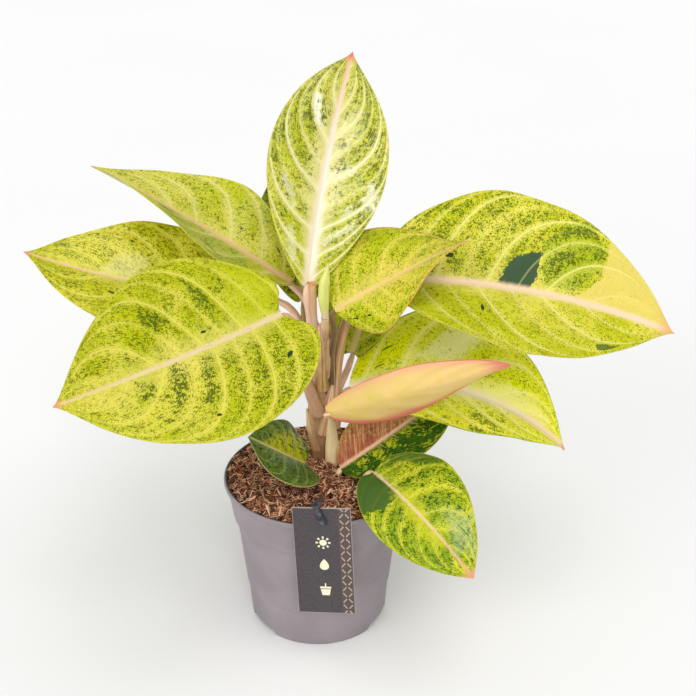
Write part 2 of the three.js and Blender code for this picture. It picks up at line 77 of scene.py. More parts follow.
def attach(mesh, key, values):
    """One or three numbers for each point of a mesh, for its material to read."""
    vectors = np.zeros((len(mesh.vertices), 3), np.float32)
    vectors[:, :values[0].size] = values.reshape(len(vectors), -1)
    mesh.attributes.new(key, "FLOAT_VECTOR", "POINT").data.foreach_set("vector", vectors.ravel())


def points_of(mesh):
    points = np.empty(3 * len(mesh.vertices), np.float32)
    mesh.vertices.foreach_get("co", points)
    return points.reshape(-1, 3)


def add_piece(name, points, faces, fields=None, crease=45):
    """Mesh object of points, n by 3, and blocks of faces, m by 3 or 4. Each entry of
    fields becomes a point attribute. Edges sharper than crease degrees stay sharp."""
    mesh = bpy.data.meshes.new(name)
    mesh.from_pydata(points.tolist(), [], [face for block in faces for face in block.tolist()])
    for key, values in (fields or {}).items():
        attach(mesh, key, values)
    mesh.shade_smooth()
    mesh.set_sharp_from_angle(angle=math.radians(crease))
    piece = bpy.data.objects.new(name, mesh)
    bpy.context.scene.collection.objects.link(piece)
    return piece


def grid_faces(rows, columns, ring=False):
    """Quads between neighbours of a grid of points, closed into a ring if asked."""
    index = np.arange(rows * columns).reshape(rows, columns)
    if ring:
        index = np.column_stack([index, index[:, 0]])
    low, high = index[:-1], index[1:]
    return np.stack([low[:, :-1], low[:, 1:], high[:, 1:], high[:, :-1]], axis=-1).reshape(-1, 4)


def capped(rings):
    """Points and faces of a stack of rings, each end closed by a fan round its centre."""
    rows, columns = rings.shape[:2]
    points = np.concatenate([rings.reshape(-1, 3), rings[[0, -1]].mean(axis=1)])
    around = np.arange(columns)
    onward = (around + 1) % columns
    last = (rows - 1) * columns
    hub = rows * columns
    bottom = np.stack([onward, around, np.full(columns, hub)], axis=-1)
    top = np.stack([last + around, last + onward, np.full(columns, hub + 1)], axis=-1)
    return points, [grid_faces(rows, columns, ring=True), bottom, top]


def rounded(profile, radius):
    """Profile with each inner corner replaced by three points of a quadratic curve that
    starts and ends a radius, or a third of the side, away from the corner."""
    profile = np.array(profile, float)
    corner = profile[1:-1]
    back, onward = profile[:-2] - corner, profile[2:] - corner
    reach = []
    for side in (back, onward):
        length = np.linalg.norm(side, axis=1, keepdims=True)
        reach.append(corner + side / length * np.minimum(radius, length / 3))
    middle = (reach[0] + 2 * corner + reach[1]) / 4
    inner = np.stack([reach[0], middle, reach[1]], axis=1).reshape(-1, profile.shape[1])
    return np.concatenate([profile[:1], inner, profile[-1:]])


def turned(profile, sides):
    """Rings of a profile of radius and height carried round the Z axis."""
    angle = np.linspace(0, 2 * np.pi, sides, endpoint=False)
    radius, height = np.array(profile, float).T
    x = radius[:, None] * np.cos(angle)
    y = radius[:, None] * np.sin(angle)
    return np.stack([x, y, np.broadcast_to(height[:, None], x.shape)], axis=-1)


def eased(value, low, high):
    """Zero below low, one above high and a smooth cubic between them."""
    share = np.clip((value - low) / (high - low), 0, 1)
    return share * share * (3 - 2 * share)


def build_pot():
    """Pot profile turned round the axis. Under each arch the foot's points are lifted to
    the arch's height, with a steep smooth step at both ends of the arch."""
    lip_bottom = pot_height - lip_height
    band_bottom = lip_bottom - band_height
    slope = (body_top_radius - foot_radius) / band_bottom
    profile = [
        (pad_radius, 0),
        (pad_radius + 0.002, foot_recess),
        (foot_radius - foot_width, foot_recess),
        (foot_radius - 0.0034, 0),
        (foot_radius - 0.0006, 0),
        (foot_radius, 0.0007),
        (foot_radius + slope * step_height - step_depth, step_height),
        (foot_radius + slope * step_height + 0.0001, step_height + 0.0008),
        (body_top_radius, band_bottom),
        (band_bottom_radius - 0.0002, band_bottom + 0.0002),
        (band_bottom_radius + 0.0003, band_bottom + 0.0012),
        (band_top_radius + 0.0008, lip_bottom - 0.004),
        (rim_radius - 0.0015, lip_bottom + 0.0005),
        (rim_radius - 0.0002, lip_bottom + 0.002),
        (rim_radius, pot_height - 0.001),
        (rim_radius - 0.0008, pot_height),
        (rim_radius - 0.0022, pot_height - 0.0002),
        (band_top_radius - pot_wall, lip_bottom - 0.0012),
        (band_bottom_radius - pot_wall, band_bottom + 0.0014),
        (foot_radius + slope * (band_bottom - 0.001) - pot_wall, band_bottom - 0.001),
        (foot_radius + slope * pot_floor - pot_wall, pot_floor),
        (pad_radius, pot_floor),
    ]
    rings = turned(rounded(profile, pot_rounding), pot_sides)
    angle = np.linspace(0, 2 * np.pi, pot_sides, endpoint=False)
    turn = (angle[:, None] - arch_first + np.pi / arch_count) % (2 * np.pi / arch_count)
    away = np.abs(turn[:, 0] - np.pi / arch_count)
    lift = arch_height * (1 - eased(away, arch_half - arch_slope, arch_half + arch_slope))
    radius = np.hypot(rings[..., 0], rings[..., 1])
    at_foot = (radius > foot_radius - foot_width) & (rings[..., 2] < arch_height)
    rings[..., 2] = np.where(at_foot, np.maximum(rings[..., 2], lift), rings[..., 2])
    return capped(rings)


def cut(piece, tool, crease=35):
    """Takes the tool's solid away from the piece and removes the tool."""
    modifier = piece.modifiers.new("cut", "BOOLEAN")
    modifier.object = tool
    modifier.operation = "DIFFERENCE"
    modifier.solver = "EXACT"
    seen = bpy.context.evaluated_depsgraph_get()
    mesh = bpy.data.meshes.new_from_object(piece.evaluated_get(seen))
    mesh.set_sharp_from_angle(angle=math.radians(crease))
    piece.modifiers.clear()
    piece.data = mesh
    bpy.data.objects.remove(tool)


pot = add_piece("nursery_pot", *build_pot(), crease=35)
for hole in range(drain_count):
    turn = 2 * math.pi * (hole + 0.5) / drain_count
    drill = turned([(drain_radius, -0.001), (drain_radius, pot_floor + 0.001)], 32)
    drill += (drain_circle * math.cos(turn), drain_circle * math.sin(turn), 0)
    cut(pot, add_piece("drill", *capped(drill)))
pot_points = points_of(pot.data)
mid_wall = np.interp(pot_points[:, 2], mid_wall_heights, mid_wall_radii)
inside = np.hypot(pot_points[:, 0], pot_points[:, 1]) < mid_wall
# Marks the inside of the wall, where the plastic's finish paints shade.
attach(pot.data, "inner", inside & (pot_points[:, 2] > pot_floor * 0.9))


def tint(colour):
    """Linear colour of a screen colour given from 0 to 255. A field stays as it is."""
    if isinstance(colour, Field):
        return colour
    share = np.array(colour) / 255
    linear = np.where(share <= 0.04045, share / 12.92, ((share + 0.055) / 1.055) ** 2.4)
    return (*linear, 1.0)


def feed(tree, value, slot):
    """Links a field to a socket, or sets the socket to a plain value."""
    if isinstance(value, Field):
        tree.links.new(value.socket, slot)
    else:
        slot.default_value = value


class Field:
    """A value that varies over a surface. Arithmetic on fields adds Math nodes, so a
    pattern is written as the formula that it is."""

    def __init__(self, tree, socket):
        self.tree = tree
        self.socket = socket

    def math(self, operation, *others):
        node = self.tree.nodes.new("ShaderNodeMath")
        node.operation = operation
        for value, slot in zip((self, *others), node.inputs):
            feed(self.tree, value, slot)
        return Field(self.tree, node.outputs[0])

    def __add__(self, other):
        return self.math("ADD", other)

    def __sub__(self, other):
        return self.math("SUBTRACT", other)

    def __rsub__(self, other):
        return self.math("MULTIPLY", -1.0).math("ADD", other)

    def __mul__(self, other):
        return self.math("MULTIPLY", other)

    def __truediv__(self, other):
        return self.math("DIVIDE", other)

    __radd__ = __add__
    __rmul__ = __mul__

    def size(self):
        return self.math("ABSOLUTE")

    def limited(self):
        """The field held between zero and one."""
        return self.math("MAXIMUM", 0.0).math("MINIMUM", 1.0)

    def above(self, low, high):
        """Zero below low, one above high, smooth between; falling if high is below low."""
        node = self.tree.nodes.new("ShaderNodeMapRange")
        node.interpolation_type = "SMOOTHSTEP"
        levels = (low, high, 0.0, 1.0)
        if not isinstance(low, Field) and not isinstance(high, Field) and low > high:
            levels = (high, low, 1.0, 0.0)
        for value, slot in zip((self, *levels), node.inputs):
            feed(self.tree, value, slot)
        return Field(self.tree, node.outputs[0])

    def parts(self):
        """The three parts of a field that is a vector."""
        node = self.tree.nodes.new("ShaderNodeSeparateXYZ")
        self.tree.links.new(self.socket, node.inputs[0])
        return [Field(self.tree, output) for output in node.outputs]


class Finish:
    """A material in the making: its shader, and the place on the piece in metres."""

    def __init__(self, name, **sockets):
        self.material = bpy.data.materials.new(name)
        self.material.use_nodes = True
        self.tree = self.material.node_tree
        self.shader = self.tree.nodes["Principled BSDF"]
        for key, value in sockets.items():
            self.shader.inputs[key.replace("_", " ")].default_value = value
        coordinates = self.tree.nodes.new("ShaderNodeTexCoord")
        self.place = Field(self.tree, coordinates.outputs["Object"])

    def read(self, attribute):
        """A vector attribute of the piece's points."""
        node = self.tree.nodes.new("ShaderNodeAttribute")
        node.attribute_name = attribute
        return Field(self.tree, node.outputs["Vector"])

    def vector(self, x, y, z):
        node = self.tree.nodes.new("ShaderNodeCombineXYZ")
        for value, slot in zip((x, y, z), node.inputs):
            feed(self.tree, value, slot)
        return Field(self.tree, node.outputs[0])

    def noise(self, scale, detail=2.0, roughness=0.5, place=None):
        """Cloudy values round a half, with scale features a metre, or a unit of place."""
        node = self.tree.nodes.new("ShaderNodeTexNoise")
        feed(self.tree, place or self.place, node.inputs["Vector"])
        node.inputs["Scale"].default_value = scale
        node.inputs["Detail"].default_value = detail
        node.inputs["Roughness"].default_value = roughness
        return Field(self.tree, node.outputs[0])

    def paint(self, under, *layers):
        """Colour under with further colours laid over it in turn, each given with its share."""
        for over, share in layers:
            node = self.tree.nodes.new("ShaderNodeMix")
            node.data_type = "RGBA"
            for value, slot in ((share, 0), (tint(under), 6), (tint(over), 7)):
                feed(self.tree, value, node.inputs[slot])
            under = Field(self.tree, node.outputs[2])
        return under

    def done(self, colour, roughness=None, relief=None, depth=0.0):
        """Feeds the colour, roughness and relief, whose full height is depth metres."""
        feed(self.tree, colour, self.shader.inputs["Base Color"])
        if roughness is not None:
            feed(self.tree, roughness, self.shader.inputs["Roughness"])
        if relief is not None:
            bump = self.tree.nodes.new("ShaderNodeBump")
            bump.inputs["Distance"].default_value = depth
            feed(self.tree, relief, bump.inputs["Height"])
            self.tree.links.new(bump.outputs[0], self.shader.inputs["Normal"])
        return self.material


def pot_plastic():
    """Grey plastic with a faint purple cast, fine grain, dusty clouds and soft scuffs, and painted shade that
    darkens the inside of the wall.
    """
    made = Finish("pot_plastic", IOR=1.46)
    cloud = made.noise(28, 3.0)
    scuff = made.noise(90, 4.0, 0.6)
    grain = made.noise(2600, 2.0)
    # Painted shade: near-black laid over the inside of the wall, where the rim and soil shade it.
    inner_shade = made.read("inner").parts()[0] * (0.75 + 0.4 * scuff)
    colour = made.paint(
        (138, 129, 134),
        ((151, 141, 146), cloud.above(0.35, 0.65)),
        ((168, 158, 161), scuff.above(0.58, 0.78) * 0.25),
        ((52, 46, 46), inner_shade.limited()),
    )
    return made.done(colour, 0.42 + 0.16 * cloud + 0.08 * grain, grain, 0.00012)


pot.data.materials.append(pot_plastic())
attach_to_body(pot, "root")
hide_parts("pot")

# Soil: moist peat that fills the pot to just under its lip, heaped where the stems
# stand, with crumbs and a litter of bark chips and fibres on top.
soil_level = 0.0995
mound_height = 0.0045
mound_radius = 0.020
mound_centre = (0.004, 0.008)
soil_low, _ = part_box("soil")
soil_edge = 0.0571
soil_foot = 0.0418
soil_side = ((0.0499, 0.0755), (0.0518, 0.078), (0.0541, 0.0970), (0.0564, 0.1012))
soil_sides = 300
soil_rings = 120
edge_drop = 0.0006
crumb_sizes = ((0.016, 0.0008), (0.007, 0.0010), (0.003, 0.0010), (0.0013, 0.0006))
chip_count = 4600
chip_stations = 5
chip_length = (0.0020, 0.0080)
chip_width = (0.00020, 0.00080)
large_chips = 90
large_longer = 0.0010
large_wider = 0.0008
large_tone = 0.75
small_tone = 0.95


def lumps(points, size, seed):
    """Smooth heights from -1 to 1: random numbers on a cubic lattice of that size, blended
    between the eight corners round each point with eased weights."""
    lattice = np.random.default_rng(seed).uniform(-1, 1, (64, 64, 64))
    cell = points / size
    base = np.floor(cell).astype(int)
    share = cell - base
    share = share * share * (3 - 2 * share)
    total = 0
    for corner in np.ndindex(2, 2, 2):
        weight = np.prod(np.where(corner, share, 1 - share), axis=-1)
        i, j, k = np.moveaxis((base + corner) % 64, -1, 0)
        total = total + weight * lattice[i, j, k]
    return total


def soil_height(x, y):
    """Height of the soil's top: a level, a heap round the stems, a slight rise towards
    the pot's wall, two slow waves and crumbs of four sizes."""
    across, along = x - mound_centre[0], y - mound_centre[1]
    heap = mound_height * np.exp(-(across**2 + along**2) / (2 * mound_radius**2))
    wave = np.sin(310 * x + 1.1) * np.cos(270 * y - 0.6) + 0.6 * np.sin(630 * x - 480 * y)
    points = np.stack([x, y, 0 * x], axis=-1)
    crumbs = sum(height * lumps(points, size, seed) for seed, (size, height) in enumerate(crumb_sizes))
    brim = 0.0034 * eased(np.hypot(x, y), 0.036, 0.056)
    return soil_level + heap + brim + 0.0007 * wave + crumbs


def build_soil():
    """Rings from the pot's floor up its inside, then inward over the uneven top."""
    side = turned([(soil_foot, soil_low.z), *soil_side], soil_sides)
    share = np.linspace(1, 0.02, soil_rings) ** 0.8
    top = turned(np.column_stack([soil_edge * share, 0 * share]), soil_sides)
    top[..., 2] = soil_height(top[..., 0], top[..., 1])
    top[0, :, 2] -= edge_drop
    return capped(np.concatenate([side, top]))


def litter(count, stations):
    """Chips and fibres: bent four-sided strips laid on the soil, each with its own place,
    heading, slope, length, width and bow. The first few are large chips. Returns points,
    faces and a random tone."""
    draw = np.random.default_rng(7)
    reach = soil_edge * np.sqrt(draw.uniform(0.0, 1, count))
    turn = draw.uniform(0, 2 * np.pi, count)
    heading = draw.uniform(0, 2 * np.pi, count)
    slope = draw.normal(0, 0.3, count)
    large = np.arange(count) < large_chips
    long = chip_length[0] + chip_length[1] * draw.beta(1.3, 3.0, count) + large_longer * large
    wide = chip_width[0] + chip_width[1] * draw.beta(1.0, 5.0, count) + large_wider * large
    thick = wide * draw.uniform(0.35, 0.8, count)
    bow = draw.normal(0, 0.14, count) * long * np.where(large, 0.2, 1)
    roll = draw.uniform(-0.9, 0.9, count)
    x, y = reach * np.cos(turn), reach * np.sin(turn)
    z = soil_height(x, y) + 0.0004 + 0.3 * np.abs(slope) * long
    ahead = np.stack([np.cos(heading) * np.cos(slope), np.sin(heading) * np.cos(slope), np.sin(slope)], -1)
    flat = np.stack([-np.sin(heading), np.cos(heading), 0 * heading], -1)
    rise = np.cross(ahead, flat)
    side = flat * np.cos(roll)[:, None] + rise * np.sin(roll)[:, None]
    lift = np.cross(ahead, side)
    t = np.linspace(-0.5, 0.5, stations)
    width = np.sqrt(np.clip(1 - (2 * t) ** 4, 0.12, 1))
    centre = np.stack([x, y, z], -1)[:, None]
    centre = centre + ahead[:, None] * (long[:, None] * t)[..., None]
    centre = centre + side[:, None] * (bow[:, None] * (1 - 4 * t * t))[..., None]
    corners = np.array([(-1, -1), (1, -1), (1, 1), (-1, 1)]) / 2
    a = (wide[:, None] * width)[..., None, None] * corners[:, 0][:, None] * side[:, None, None]
    b = (thick[:, None] * width)[..., None, None] * corners[:, 1][:, None] * lift[:, None, None]
    points = centre[:, :, None] + a + b
    one = grid_faces(stations, 4, ring=True)
    ends = np.array([(3, 2, 1, 0), tuple(4 * (stations - 1) + np.arange(4))])
    one = np.concatenate([one, ends])
    faces = (one[None] + (4 * stations * np.arange(count))[:, None, None]).reshape(-1, 4)
    tone = np.where(large, large_tone, small_tone * draw.beta(0.55, 0.6, count))
    return points.reshape(-1, 3), [faces], {"tone": np.repeat(tone, 4 * stations)}


def peat_finish():
    """Red-brown peat: dark hollows and paler crumbs at two scales, dull all over."""
    made = Finish("peat", Specular_IOR_Level=0.25)
    coarse = made.noise(240, 4.0, 0.65)
    fine = made.noise(1100, 3.0, 0.7)
    crumbs = ((224, 164, 124), fine.above(0.54, 0.66) * 0.85)
    colour = made.paint((26, 10, 6), ((156, 94, 62), coarse.above(0.42, 0.62)), crumbs)
    return made.done(colour, 0.8 + 0.15 * fine, fine, 0.0006)


def chip_finish():
    """Bark and fibre, from near black through brown to pinkish tan, with a fine grain."""
    made = Finish("bark_chips", Specular_IOR_Level=0.3)
    tone = made.read("tone").parts()[0]
    grain = made.noise(1500, 3.0)
    colour = made.paint(
        (40, 18, 12),
        ((186, 112, 76), tone.above(0.1, 0.4)),
        ((255, 206, 170), tone.above(0.4, 0.85)),
        ((60, 36, 28), grain.above(0.52, 0.7) * 0.45),
    )
    return made.done(colour, 0.7 + 0.2 * grain, grain, 0.0002)


soil = add_piece("soil_peat", *build_soil(), crease=60)
soil.data.materials.append(peat_finish())
chips = add_piece("soil_chips", *litter(chip_count, chip_stations), crease=60)
chips.data.materials.append(chip_finish())
for piece in (soil, chips):
    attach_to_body(piece, "root")
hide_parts("soil")

# Blades: thirteen broad pointed leaves. Each is a thin skin with a keel under its midrib,
# sunken side veins that run forward into the margin, and gently waved edges.
blade_thickness = 0.0007
keel_depth = 0.0015
lobe_ramp = 0.01
lobe_fade = 0.2
tip_reach = 0.05
blade_start = 0.003
blade_end = 0.996
blade_rows = 130
blade_columns = 73
quilt_height = 0.0009
quilt_from_rib = (0.0015, 0.007)
rib_half_width = 0.0022
rib_groove = 0.0002
dent_height = 0.0005
dent_size = 0.013
vein_bend = 0.075
vein_bend_growth = 0.45
spot_green = (50, 66, 30)
leaves = {
    "leaf_top": dict(
        base=(-0.004, 0.006, 0.2339), heading=(74.8, -6.6), rise=(63.5, -16.8), roll=(28.7, -2.7),
        length=0.147, left=0.0373, right=0.0375, full=0.98, taper=1.01, drip=0.9, fold=(13.8, 12.6), curl=5.9,
        lobe=0.046, wave=0.0012, waves=2.6,
    ),
    "leaf_upper_left": dict(
        base=(-0.0153, 0.022, 0.2262), heading=(166, -2.3), rise=(31.5, -9.4), roll=(-23.6, 42.9),
        length=0.143, left=0.0401, right=0.0431, full=0.99, taper=1.22, drip=0.36, fold=(17.5, 17.2),
        curl=-7.5, lobe=0.026, wave=0.001, waves=2.2,
    ),
    "leaf_far_left": dict(
        base=(-0.0301, 0.026, 0.215), heading=(180.6, -4.2), rise=(2.5, 16.8), roll=(-29.2, -2.6),
        length=0.153, left=0.0413, right=0.0438, full=0.89, taper=1.08, drip=0.58, fold=(13.7, 13.6), curl=6,
        lobe=0.02, wave=0.0012, waves=3.1,
    ),
    "leaf_front_left": dict(
        base=(-0.0181, -0.0291, 0.2294), heading=(220.7, -5.4), rise=(-5.9, 2.7), roll=(-29.5, -23.2),
        length=0.145, left=0.0608, right=0.054, full=0.57, taper=0.92, drip=0.88, fold=(16.5, 10.1), curl=2,
        lobe=0.089, wave=0.0013, waves=3.3,
    ),
    "leaf_right": dict(
        base=(0.0431, 0.0099, 0.2343), heading=(1.7, -0.6), rise=(-0.6, -23.3), roll=(20.7, 40.3),
        length=0.185, left=0.0599, right=0.0553, full=0.6, taper=1.04, drip=0.69, fold=(16.6, 17.8),
        curl=-3.9, lobe=0.03, wave=0.0015, waves=3.4,
    ),
    "leaf_centre_right": dict(
        base=(0.0115, -0.0006, 0.2186), heading=(3.4, -31.2), rise=(31.2, 3.5), roll=(58.6, -65.1),
        length=0.097, left=0.0423, right=0.0302, full=0.74, taper=1.39, drip=0.72, fold=(7.6, 6.4), curl=15.3,
        lobe=0, wave=0.0008, waves=2.2,
    ),
    "leaf_lower_right": dict(
        base=(0.0205, 0.011, 0.1589), heading=(5.2, -6.8), rise=(9.9, -58.1), roll=(23.1, 4.7), length=0.156,
        left=0.0576, right=0.0372, full=0.78, taper=1.11, drip=0.66, fold=(13.2, 14.8), curl=1.3, lobe=0,
        wave=0.0012, waves=2.8,
    ),
    "leaf_rear_right": dict(
        base=(0.0224, 0.032, 0.1732), heading=(70, 0), rise=(38, -24), roll=(-8, 0), length=0.092, left=0.03,
        right=0.023, full=0.6, taper=0.95, drip=0.5, fold=(13, 15), curl=6, lobe=0.07, wave=0.0009, waves=2.4,
    ),
    "leaf_young": dict(
        base=(0.008, -0.031, 0.165), heading=(-17.1, 14.7), rise=(22.2, -2.1), roll=(-78.3, 39.2),
        length=0.114, left=0.0336, right=0.0171, full=0.63, taper=0.54, drip=0.37, fold=(16.4, 27.9),
        curl=-0.8, lobe=0.037, wave=0.0004, waves=1.5, soft=0.4,
    ),
    "leaf_folded": dict(
        base=(0.015, 0.001, 0.106), heading=(10, 9), rise=(33.3, -1), roll=(16, 6), length=0.092, left=0.025,
        right=0.031, full=0.62, taper=0.72, drip=0.3, fold=(45, 12), curl=8, lobe=0.01, wave=0.0006,
        waves=2.1,
    ),
    "leaf_bottom_right": dict(
        base=(0.0358, -0.025, 0.1192), heading=(-56.6, 7.9), rise=(0.1, -30.4), roll=(19.5, 26.4),
        length=0.097, left=0.0336, right=0.0283, full=0.59, taper=0.85, drip=0.35, fold=(14, 13.6), curl=4.8,
        lobe=0.045, wave=0.0009, waves=2.7,
    ),
    "leaf_soil_left": dict(
        base=(-0.0079, 0.008, 0.1048), heading=(200.7, 0.4), rise=(36.7, 0.4), roll=(-10.7, -32.6),
        length=0.047, left=0.034, right=0.0243, full=0.45, taper=0.87, drip=0.33, fold=(16.3, 14.9), curl=1.8,
        lobe=0.12, wave=0.0005, waves=2.3,
    ),
    "leaf_back": dict(
        base=(-0.008, 0.028, 0.212), heading=(92, 0), rise=(42, -12), roll=(0, 0), length=0.116, left=0.03,
        right=0.03, full=0.8, taper=1, drip=0.5, fold=(13, 13), curl=6, lobe=0.04, wave=0.001, waves=2.5,
    ),
}


def unit(vectors):
    return vectors / np.linalg.norm(vectors, axis=-1, keepdims=True)


def angle_at(leaf, name, u):
    """A leaf's heading, rise or roll at u, in radians: its start plus u times its change."""
    start, change = leaf[name]
    return np.radians(start + change * u)


def midrib_direction(leaf, u):
    """Direction of the midrib at u, from its heading and rise there."""
    heading, rise = angle_at(leaf, "heading", u), angle_at(leaf, "rise", u)
    return np.stack([np.cos(rise) * np.cos(heading), np.cos(rise) * np.sin(heading), np.sin(rise)], -1)


def midrib_point(leaf, u):
    """Point of the midrib at u: its direction summed over short steps from the base."""
    ends = np.linspace(0, 1, 401)
    steps = midrib_direction(leaf, (ends[1:] + ends[:-1]) / 2) * leaf["length"] / 400
    path = np.concatenate([np.zeros((1, 3)), np.cumsum(steps, axis=0)]) + leaf["base"]
    return np.stack([np.interp(u, ends, path[:, axis]) for axis in range(3)], axis=-1)


def blade_frame(leaf, u):
    """Ahead, side and face directions of the blade at u: level and upright directions of
    the midrib, turned about it by the roll."""
    ahead = midrib_direction(leaf, u)
    heading = angle_at(leaf, "heading", u)
    level = np.stack([np.sin(heading), -np.cos(heading), 0 * heading], -1)
    upright = np.cross(level, ahead)
    roll = angle_at(leaf, "roll", u)[..., None]
    side = level * np.cos(roll) - upright * np.sin(roll)
    return ahead, side, upright * np.cos(roll) + level * np.sin(roll)


def outline(leaf, u):
    """Half-width share at u: a power rise times a power fall, scaled to one at the widest
    place, and pinched near the tip."""
    full, taper = leaf["full"], leaf["taper"]
    widest = full / (full + taper)
    scale = widest**full * (1 - widest) ** taper
    return u**full * (1 - u) ** taper / scale * (1 - leaf["drip"] * np.exp(-(1 - u) / tip_reach))


def blade_middle(leaf, u, v):
    """Middle surface at u along and v across: from the midrib out to the side and up by
    the fold, less the curl, with a rippled margin and base corners drawn backward."""
    ahead, side, face = (part[:, None] for part in blade_frame(leaf, u[:, 0]))
    reach = np.abs(v)
    soft = leaf.get("soft", 0.02)
    cup = (np.sqrt(v**2 + soft**2) - soft) / (math.sqrt(1 + soft**2) - soft)
    half = np.where(v < 0, leaf["left"], leaf["right"]) * outline(leaf, u)
    lift = np.radians(np.where(v < 0, *leaf["fold"]) - leaf["curl"] * reach / 2)
    ripple = leaf["wave"] * outline(leaf, u) * reach**3
    ripple = ripple * np.sin(2 * np.pi * leaf["waves"] * u + np.where(v < 0, 0.8, 2.4))
    past = np.maximum(u - blade_start, 0)
    back = leaf["lobe"] * leaf["length"] * reach**1.5
    back = back * np.exp(-((u / lobe_fade) ** 2)) * (1 - np.exp(-past / lobe_ramp))
    middle = midrib_point(leaf, u[:, 0])[:, None]
    middle = middle + side * (half * v * np.cos(lift))[..., None]
    middle = middle + face * (half * cup * np.sin(lift) + ripple)[..., None] - ahead * back[..., None]
    return middle, half * v


def vein_fields(look, u, v, points):
    """Phase, whole on each side vein and growing by one to the next, and the strength of
    the nearest vein. A vein that leaves the midrib at s is at u = s + (b + c s^2) L, where
    L = -ln(1 - 0.97 |v|), so it bends until it runs along the margin; s is the root of
    that quadratic, written so that it stays exact at the midrib. A look gives each half's
    chosen veins as their places and their strengths; the rest are drawn at random."""
    away = -np.log(1 - 0.97 * np.abs(v))
    onward = u - look["bend"] * away
    curve = vein_bend_growth * away
    start = 2 * onward / (1 + np.sqrt(1 + 4 * curve * np.maximum(onward, 0)))
    stray = lumps(points, 0.034, look["seed"]) + 0.4 * lumps(points, 0.013, look["seed"] + 1)
    start = start + look["drift"] * stray
    draw = np.random.default_rng(look["seed"])
    phase, strength = np.zeros_like(u), np.zeros_like(u)
    for right, chosen in enumerate(look["veins"]):
        gaps = look["gap"] * draw.uniform(0.75, 1.25, 40)
        weights = draw.uniform(0.45, 1.0, 40)
        if chosen:
            places, known = np.array(chosen)
            before = places[0] - np.cumsum(gaps[:6])[::-1]
            places = np.concatenate([before, places, places[-1] + np.cumsum(gaps[6:12])])
            weights[6:6 + len(known)] = known
        else:
            places = np.cumsum(gaps) - 6 * look["gap"]
        count = len(places)
        here = (v > 0) == bool(right)
        own = np.interp(start, places, np.arange(count))
        nearest = np.clip(np.rint(own), 0, count - 1).astype(int)
        phase = np.where(here, own, phase)
        strength = np.where(here, weights[nearest], strength)
    return phase, strength


def build_blade(leaf, look):
    """Upper and lower sheets of the blade, joined round the margin. Both follow the middle
    surface; the skin bulges between the side veins and the keel stands below."""
    t = np.linspace(0, 1, blade_rows)
    along = blade_start + (blade_end - blade_start) * (0.6 * t + 0.2 - 0.2 * np.cos(np.pi * t))
    s = np.linspace(-1, 1, blade_columns)
    across = s - np.sign(s) * 0.6 * np.sin(2 * np.pi * np.abs(s)) / (2 * np.pi)
    u, v = np.meshgrid(along, across, indexing="ij")
    middle, offset = blade_middle(leaf, u, v)
    normal = unit(np.cross(np.gradient(middle, axis=1), np.gradient(middle, axis=0)))
    phase, strength = vein_fields(look, u, v, middle)
    bulge = np.abs(np.sin(np.pi * phase)) ** 1.3 - 0.5
    quilt = quilt_height * look["quilt"] * bulge * (0.5 + 0.5 * strength)
    quilt = quilt * eased(np.abs(offset), *quilt_from_rib) * (1 - np.abs(v) ** 5)
    half_rib = rib_half_width * (1 - 0.75 * u)
    near = np.exp(-((offset / half_rib) ** 2))
    fine = dent_height * lumps(middle, dent_size, look["seed"] + 50) * np.abs(v)
    skin = blade_thickness * (1 - 0.45 * np.abs(v) ** 4) / 2
    height = quilt + fine
    upper = middle + normal * (height + skin - rib_groove * near * (1 - u))[..., None]
    lower = middle + normal * (height - skin - keel_depth * look["keel"] * near * (1 - 0.85 * u))[..., None]
    points = np.concatenate([upper.reshape(-1, 3), lower.reshape(-1, 3)])
    rows, columns = u.shape
    sheet = grid_faces(rows, columns)
    index = np.arange(rows * columns).reshape(rows, columns)
    border = np.concatenate([index[0, :-1], index[:-1, -1], index[-1, :0:-1], index[:0:-1, 0]])
    onward = np.roll(border, -1)
    under = rows * columns
    wall = np.stack([onward, border, under + border, under + onward], axis=-1)
    blade_map = np.stack([u, v, 0 * u], -1).reshape(-1, 3)
    blade_map = np.concatenate([blade_map + (0, 0, 1), blade_map])
    vein_map = np.tile(np.stack([phase, offset * 1000, strength], -1).reshape(-1, 3), (2, 1))
    return points, [sheet, under + sheet[:, ::-1], wall], {"blade": blade_map, "veins": vein_map}


# What a blade looks like where its own look says nothing else. Colours are screen colours
# from 0 to 255 and shares run from 0 to 1. The rib's width is in millimetres, a vein's in
# gaps between veins, and the glow's in half widths of the blade.
plain_look = dict(
    seed=1, veins=((), ()), gap=0.135, bend=vein_bend, drift=0.008, quilt=1.0, keel=1.0, coat=0.0, gloss=0.36,
    shine=0.12, young=(220, 210, 76), lime=(188, 193, 8), ripe=(112, 124, 0), ripe_share=0.92,
    fleck=(74, 92, 6), flecks=0.75, fleck_size=1.0, fleck_from=0.0, streak=1.0, fleck_left=0.0,
    fleck_right=0.0, vein=(222, 214, 86), vein_width=0.05, vein_share=0.85, minor_share=0.25, halo=0.12,
    glow=(226, 214, 110), glow_width=0.08, glow_share=0.2, rib=(232, 208, 152), rib_width=2.2, rib_taper=0.75,
    rib_tip=(232, 190, 140), tip=(226, 156, 110), tip_from=0.955, margin=(206, 200, 70), margin_share=0.4,
    zones=(), spots=(), blush=None, blush_left=0.0, blush_right=0.0, mottle=None, under=(178, 180, 70),
    under_edge=(190, 186, 80), left_tint=None, left_share=0.0, slot="leaf_green",
)


def zone(corners, crowd, colour=None, share=0.0, ragged=2.0, soft=2.2, veil=0.0):
    """An area of a blade, its corners given along and across it: how far it crowds the
    flecks, its colour and share, its edge's raggedness and softness in millimetres, and
    how far it hides the veins."""
    return dict(corners=corners, crowd=crowd, colour=colour, share=share, ragged=ragged, soft=soft, veil=veil)


def pale_patch(corners, colour, share, soft=2.2, crowd=-0.35):
    """An area of one colour with few flecks."""
    return zone(corners, crowd, colour, share, soft * 1.4, soft)


